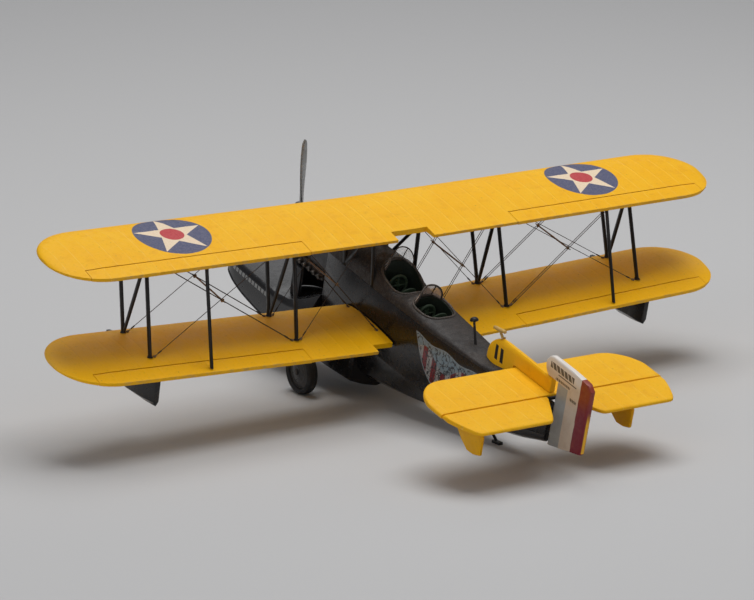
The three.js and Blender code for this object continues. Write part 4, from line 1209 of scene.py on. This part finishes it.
def build_panel(name, cockpit):
    """An arched board under the decking, with six dials in raised rims."""
    face_y, half, thick, foot, shoulder = cockpit["wheel_y"] - 1.6, 3.9, 0.3, 19.6, 21.4
    arch = (cockpit["wheel_z"] - 19.4) * 0.72
    outline = [(half * cos(a), shoulder + arch * sin(a) ** 0.7) for a in (pi * i / 24 for i in range(25))]
    outline = [(x, min(z, deck_height(x, face_y) - 0.35)) for x, z in outline] + [(-half, foot), (half, foot)]
    board, dials = bmesh.new(), bmesh.new()
    ring_shell(board, [[at(x, face_y + t, z) for x, z in outline] for t in (0, thick)])
    for x, z in ((-2.4, 21.4), (-0.85, 22.2), (0.85, 22.2), (2.4, 21.4), (-1.6, 20.5), (1.6, 20.5)):
        face = Matrix.Translation((x, face_y + thick, z)) @ AFT
        turned(board, [(0.5, 0.0), (0.66, 0.0), (0.66, 0.16), (0.58, 0.22), (0.5, 0.16)], face, 24, loop=True)
        turned(dials, [(0, -0.02), (0.49, -0.02), (0.49, 0.1), (0, 0.1)], face, 20)
    piece(f"instrument_panel_{name}", board, "green")
    piece(f"instrument_dials_{name}", dials, "dials")


def build_cockpits():
    for name, cockpit in COCKPITS.items():
        build_seat(name, cockpit)
    for name, cockpit in COCKPITS.items():
        build_control_wheel(name, cockpit)
        build_column(name, cockpit)
        build_panel(name, cockpit)


# ------------------------------------------------------------------ hull, engine and running gear
# Columns: y, half width and z of the deck, of its shoulder and of the chine, then the keel z.
FOREBODY = [
    (-96.8, 1.2, 1.5, 1.6, 1.1, 1.6, 0.6, -0.1), (-96.2, 3.6, 2.1, 4.0, 1.6, 3.9, 0.0, -1.5),
    (-94.8, 6.0, 2.6, 6.5, 2.0, 6.6, -0.6, -2.7), (-92.0, 7.6, 2.9, 8.4, 2.2, 8.6, -1.5, -4.2),
    (-88.0, 8.1, 2.9, 8.8, 2.2, 9.1, -2.8, -5.5), (-82.0, 8.2, 2.9, 8.9, 2.2, 9.2, -4.0, -6.5),
    (-73.0, 8.2, 2.9, 8.9, 2.2, 9.2, -4.8, -7.1), (-66.0, 8.0, 3.7, 8.9, 2.8, 9.2, -4.8, -7.2),
    (-63.6, 7.8, 4.2, 8.9, 3.1, 9.2, -4.7, -7.2), (-59.0, 7.0, 6.4, 8.9, 4.4, 9.2, -4.6, -7.1),
    (-52.4, 6.3, 10.6, 8.9, 6.2, 9.2, -4.4, -7.0),
]
MIDBODY = [
    (-52.3, 6.3, 7.2, 8.8, 6.2, 9.2, -4.4, -7.0), (-44.0, 6.3, 7.2, 8.8, 6.0, 9.0, -4.0, -6.6),
    (-32.05, 6.3, 7.2, 7.9, 5.6, 8.3, -3.1, -5.8),
]
AFTERBODY = [
    (-31.95, 6.2, 7.3, 6.0, 3.2, 5.6, -0.6, -4.6), (-14.0, 5.9, 7.3, 5.4, 4.4, 4.5, 1.9, -0.4),
    (-8.0, 5.7, 7.3, 5.0, 5.0, 4.0, 3.0, 1.2), (10.0, 4.4, 10.95, 3.8, 9.1, 2.9, 7.6, 6.2),
    (26.0, 2.7, 14.5, 2.3, 13.0, 1.7, 11.8, 10.7), (37.4, 0.9, 17.3, 0.95, 16.4, 0.8, 15.8, 15.1),
]


def rounded_corner(before, corner, after, radius, steps=4):
    """Points that turn a corner smoothly instead of sharply."""
    start = corner + (before - corner) * min(radius / (before - corner).length, 0.45)
    end = corner + (after - corner) * min(radius / (after - corner).length, 0.45)
    return [start.lerp(corner, t).lerp(corner.lerp(end, t), t) for t in (i / steps for i in range(steps + 1))]


def hull_ring(y, values):
    top_x, top_z, shoulder_x, shoulder_z, chine_x, chine_z, keel_z = values
    deck, top = at(0, y, top_z + 0.1), at(top_x, y, top_z)
    shoulder, chine = at(shoulder_x, y, shoulder_z), at(chine_x, y, chine_z)
    bottom = at(chine_x * 0.5, y, chine_z + (keel_z - chine_z) * 0.62)
    keel = at(0, y, keel_z)
    port = [deck.lerp(top, 0.5), *rounded_corner(deck, top, shoulder, 0.5),
            *rounded_corner(top, shoulder, chine, 0.9), shoulder.lerp(chine, 0.5),
            *rounded_corner(shoulder, chine, bottom, 0.22, 3), *rounded_corner(chine, bottom, keel, 1.2)]
    return [deck, *port, keel, *(at(-p.x, p.y, p.z) for p in reversed(port))]


def build_hull():
    rings = []
    for table, step in ((FOREBODY, 0.9), (MIDBODY, 3.0), (AFTERBODY, 2.4)):
        first, last = table[0][0], table[-1][0]
        count = max(int((last - first) / step), 2)
        spots = [first + (last - first) * i / count for i in range(count + 1)]
        if table is FOREBODY:
            spots += [-96.7, -96.5, -96.3, -95.9, -95.6, -95.3]
        rings += [hull_ring(y, smooth_row(table, y)) for y in sorted(spots)]
    skin_piece("hull_skin", rings, "hull", "hull", sharp=32)

    for side, sign in SIDES.items():
        bm = bmesh.new()
        path = [at(sign * (v[4] + 0.02), y, v[5]) for y, v in
                ((y, smooth_row(FOREBODY, y)) for y in (-94.8 + 1.06 * i for i in range(40)))]
        tube(bm, path, [0.05] + [0.17] * (len(path) - 2) + [0.05], 8)
        piece(f"spray_strip_{side}", bm, "strut")


# Columns: y, half width, bottom z, top z.
COWL = [
    (-73.4, 3.0, 20.0, 25.7), (-71.5, 4.6, 16.6, 26.5), (-66.0, 5.5, 14.9, 27.1), (-58.0, 5.9, 14.6, 27.7),
    (-52.2, 6.1, 14.6, 28.0),
]


def cowl_point(y, angle, grow=0.0):
    width, bottom, top = smooth_row(COWL, y)
    across = copysign(abs(cos(angle)) ** 0.62, cos(angle))
    upward = copysign(abs(sin(angle)) ** 0.62, sin(angle))
    return at((width + grow) * across, y, (bottom + top) / 2 + ((top - bottom) / 2 + grow) * upward)


def build_cowl():
    rings = []
    for i in range(49):
        y = -73.4 + 21.2 * (i / 48) ** 1.3
        groove = -0.07 if 24 <= i <= 25 or 38 <= i <= 39 else 0.0
        rings.append([cowl_point(y, 2 * pi * (k + 0.5) / 60, groove) for k in range(60)])
    skin_piece("engine_cowl_skin", rings, "cowl", "engine_cowl", sharp=50)
    bm = bmesh.new()
    for sign in SIDES.values():
        for i in range(9):
            y = -70.0 + 1.15 * i
            angles = [radians(t if sign > 0 else 180 - t) for t in (8, 18, 28, 38)]
            tube(bm, [cowl_point(y, a, 0.05) for a in angles], [0.08, 0.17, 0.17, 0.08], 8)
    piece("cowl_louvres", bm, "cowl")


def build_propeller():
    lean = Matrix.Translation(HUB) @ Matrix.Rotation(HUB_LEAN, 4, "Y")
    bm = bmesh.new()
    tip = 19.2
    for flip in (Matrix.Identity(4), Matrix.Rotation(pi, 4, "Y")):
        rings = []
        for i in range(41):
            part = (i / 40) ** 0.9
            radius = 0.4 + (tip - 0.4) * part
            share = radius / tip
            width = 1.8 * sin(pi * (0.14 + 0.76 * share)) ** 0.7
            width *= sqrt(max(1 - max(0.0, (share - 0.93) / 0.07) ** 2, 0.03))
            twist = radians(56 - 38 * share)
            thick = 0.55 - 0.4 * share
            feathered = lean @ flip @ Matrix.Rotation(twist, 4, "Z")
            rings.append([feathered @ at(width * cos(a), thick * sin(a), radius) for a in turns(20)])
        ring_shell(bm, rings)
    shaded_ahead = lean @ Matrix.Rotation(radians(90), 4, "X")
    turned(bm, [(0, -1.1), (1.25, -1.1), (1.35, -0.95), (1.35, 0.95), (1.25, 1.1), (1.0, 1.12), (0.95, 1.5),
                (0.62, 2.1), (0.3, 2.35), (0, 2.4)], shaded_ahead, 32)
    for i in range(6):
        spot = shaded_ahead @ Matrix.Rotation(pi / 3 * i, 4, "Z") @ Matrix.Translation((1.1, 0, 1.08))
        turned(bm, [(0, 0), (0.16, 0), (0.16, 0.12), (0.08, 0.16), (0, 0.16)], spot, 6)
    piece("propeller_blades", bm, "propeller", "propeller", "propeller")


def build_exhausts():
    """Open exhaust stubs and rocker covers along each cylinder bank."""
    for side, sign in SIDES.items():
        bm = bmesh.new()
        for i in range(6):
            y = -68.4 + 2.3 * i
            place = axis_place((sign * 3.9, y, 13.65), (sign, 0.15, -0.3))
            turned(bm, [(0, -0.3), (0.62, -0.3), (0.62, 1.15), (0.56, 1.3), (0.44, 1.3), (0.40, 1.15),
                        (0.40, 0.6), (0, 0.5)], place, 20)
            cover = Matrix.Translation((sign * 3.1, y, 14.55)) @ Matrix.Diagonal((1.1, 0.9, 1, 1))
            turned(bm, [(0, -0.5), (0.62, -0.5), (0.62, 0.05), (0.5, 0.2), (0.2, 0.26), (0, 0.26)], cover, 20)
        rail = [at(sign * 4.55, -70.2 + 14.4 * t, 13.0 - 0.1 * t) for t in (i / 12 for i in range(13))]
        tube(bm, rail, 0.16, 10)
        piece(f"exhaust_stubs_{side}", bm, "metal")


def build_wheels():
    """Tyres with a worn tread and sidewall rings, and pressed discs with a hub and rim bead."""
    for side, sign in SIDES.items():
        centre = at(sign * WHEEL.x, WHEEL.y, WHEEL.z)
        place = Matrix.Translation(centre) @ Matrix.Rotation(sign * pi / 2, 4, "Y")
        bm = bmesh.new()
        wall = [(4.32, -1.0), (4.6, -1.34), (4.82, -1.42), (4.9, -1.52), (5.05, -1.52), (5.12, -1.46),
                (5.4, -1.36), (5.62, -1.1), (5.74, -0.7), (5.765, -0.35)]
        profile = wall + [(5.70, -0.28), (5.70, -0.2), (5.77, -0.14), (5.77, 0.14), (5.70, 0.2), (5.70, 0.28)]
        profile += [(r, -h) for r, h in reversed(wall)]
        turned(bm, profile, place, 72, loop=True)
        piece(f"tyre_{side}_moulded", bm, "rubber", f"tyre_{side}", f"wheel_{side}")

        bm = bmesh.new()
        turned(bm, [(0, -0.9), (1.0, -0.9), (1.2, -0.75), (3.9, -0.9), (4.2, -0.9), (4.2, 0.72),
                    (4.12, 0.84), (3.98, 0.84), (3.9, 0.7), (3.1, 0.92), (3.02, 1.02), (2.9, 1.02),
                    (2.82, 0.98), (1.5, 1.32), (1.42, 1.46), (1.2, 1.5), (0.95, 1.5), (0.9, 1.8),
                    (0.7, 1.95), (0.3, 2.0), (0, 2.0)], place, 64)
        for i in range(6):
            turn = Matrix.Rotation(pi / 3 * i, 4, "Z") @ Matrix.Translation((2.2, 0, 1.12))
            turned(bm, [(0, 0), (0.16, 0), (0.16, 0.12), (0.1, 0.18), (0, 0.18)], place @ turn, 10)
        turned(bm, [(0, -0.98), (0.5, -0.98), (0.5, -0.85), (0, -0.85)], place, 16)
        piece(f"wheel_disc_{side}_pressed", bm, "disc", f"wheel_disc_{side}", f"wheel_{side}")


for build in (build_wings, build_tail, build_rudder, build_fin, build_mast, build_struts, build_rigging,
              build_deck, build_windscreens, build_cockpits, build_hull, build_cowl, build_propeller,
              build_exhausts, build_wheels):
    build()

CAD_LOOKS = {
    "hull": ["tip_float_port", "tip_float_starboard"],
    "side": ["fuselage"],
    "cowl": ["radiator"],
    "plain_yellow": ["finlet_port", "finlet_starboard"],
    "metal": ["cylinder_bank_port", "cylinder_bank_starboard", "propeller_shaft"],
    "strut": ["tail_skid", "elevator_torque_tube"],
}
for node_name in frame["nodes"]:
    framing = node_name.startswith(("strut_", "cabane_", "aileron_link_", "gear_leg_"))
    if framing and "diagonal" not in node_name:
        CAD_LOOKS["strut"].append(node_name)
for look, nodes in CAD_LOOKS.items():
    for node_name in nodes:
        dress(node_name, look)


# ------------------------------------------------------------------ floor, light and camera
def build_stage():
    """A floor that bends up, ahead of the model, into a backdrop; in metres."""
    bm = bmesh.new()
    depth, width = 2.2, 3.0
    near, bend = 1.4, 0.9
    end = near - depth
    profile = [(near - depth * i / 12, 0.0) for i in range(13)]
    profile += [(end - bend * sin(a), bend * (1 - cos(a)))
                for a in (pi / 2 * i / 16 for i in range(1, 17))]
    profile.append((end - bend, bend + 1.5))
    rows = [[bm.verts.new((x, y, z)) for y, z in profile] for x in (-width, width)]
    for i in range(len(profile) - 1):
        bm.faces.new((rows[0][i], rows[0][i + 1], rows[1][i + 1], rows[1][i]))
    mesh = bpy.data.meshes.new("floor")
    bm.to_mesh(mesh)
    bm.free()
    shade_smooth(mesh)
    material = bpy.data.materials.new("floor_grey")
    material.use_nodes = True
    shader = material.node_tree.nodes["Principled BSDF"]
    shader.inputs["Base Color"].default_value = (0.525, 0.52, 0.515, 1)
    shader.inputs["Roughness"].default_value = 0.9
    shader.inputs["Specular IOR Level"].default_value = 0.1
    mesh.materials.append(material)
    floor = bpy.data.objects.new("floor", mesh)
    bpy.context.scene.collection.objects.link(floor)


def area_light(name, place, target, size, power):
    data = bpy.data.lights.new(name, "AREA")
    data.shape = "RECTANGLE"
    data.size, data.size_y = size
    data.energy = power
    light = bpy.data.objects.new(name, data)
    light.location = place
    light.rotation_euler = (Vector(target) - Vector(place)).to_track_quat("-Z", "Y").to_euler()
    bpy.context.scene.collection.objects.link(light)


def build_lights():
    area_light("softbox_above", (-0.11, -0.03, 0.85), (0, 0, 0), (0.75, 0.55), 5.9)
    area_light("fill_left", (1.3, 0.7, 0.6), (0, 0, 0.02), (0.9, 0.9), 3.0)
    area_light("backdrop_wash", (-0.5, -0.85, 0.6), (-0.45, -0.8, 0), (0.5, 0.5), 0.7)
    world = bpy.data.worlds.new("studio")
    world.use_nodes = True
    background = world.node_tree.nodes["Background"]
    background.inputs[0].default_value = (0.9, 0.93, 1.0, 1)
    background.inputs[1].default_value = 0.28
    bpy.context.scene.world = world


def build_camera():
    azimuth, elevation, roll = radians(146.99), radians(13.79), radians(-0.10)
    data = bpy.data.cameras.new("camera")
    data.sensor_width = 36.0
    data.lens = 162.7
    data.clip_start, data.clip_end = 0.05, 50
    camera = bpy.data.objects.new("camera", data)
    bpy.context.scene.collection.objects.link(camera)
    back = at(sin(azimuth) * cos(elevation), -cos(azimuth) * cos(elevation), sin(elevation))
    camera.rotation_mode = "QUATERNION"
    level = (-back).to_track_quat("-Z", "Y")
    camera.rotation_quaternion = level @ Matrix.Rotation(roll, 3, "Z").to_quaternion()
    camera.location = (0.44637, 0.67303, 0.22545)
    bpy.context.scene.camera = camera


build_stage()
build_lights()
build_camera()
bpy.context.scene.view_settings.view_transform = "Standard"
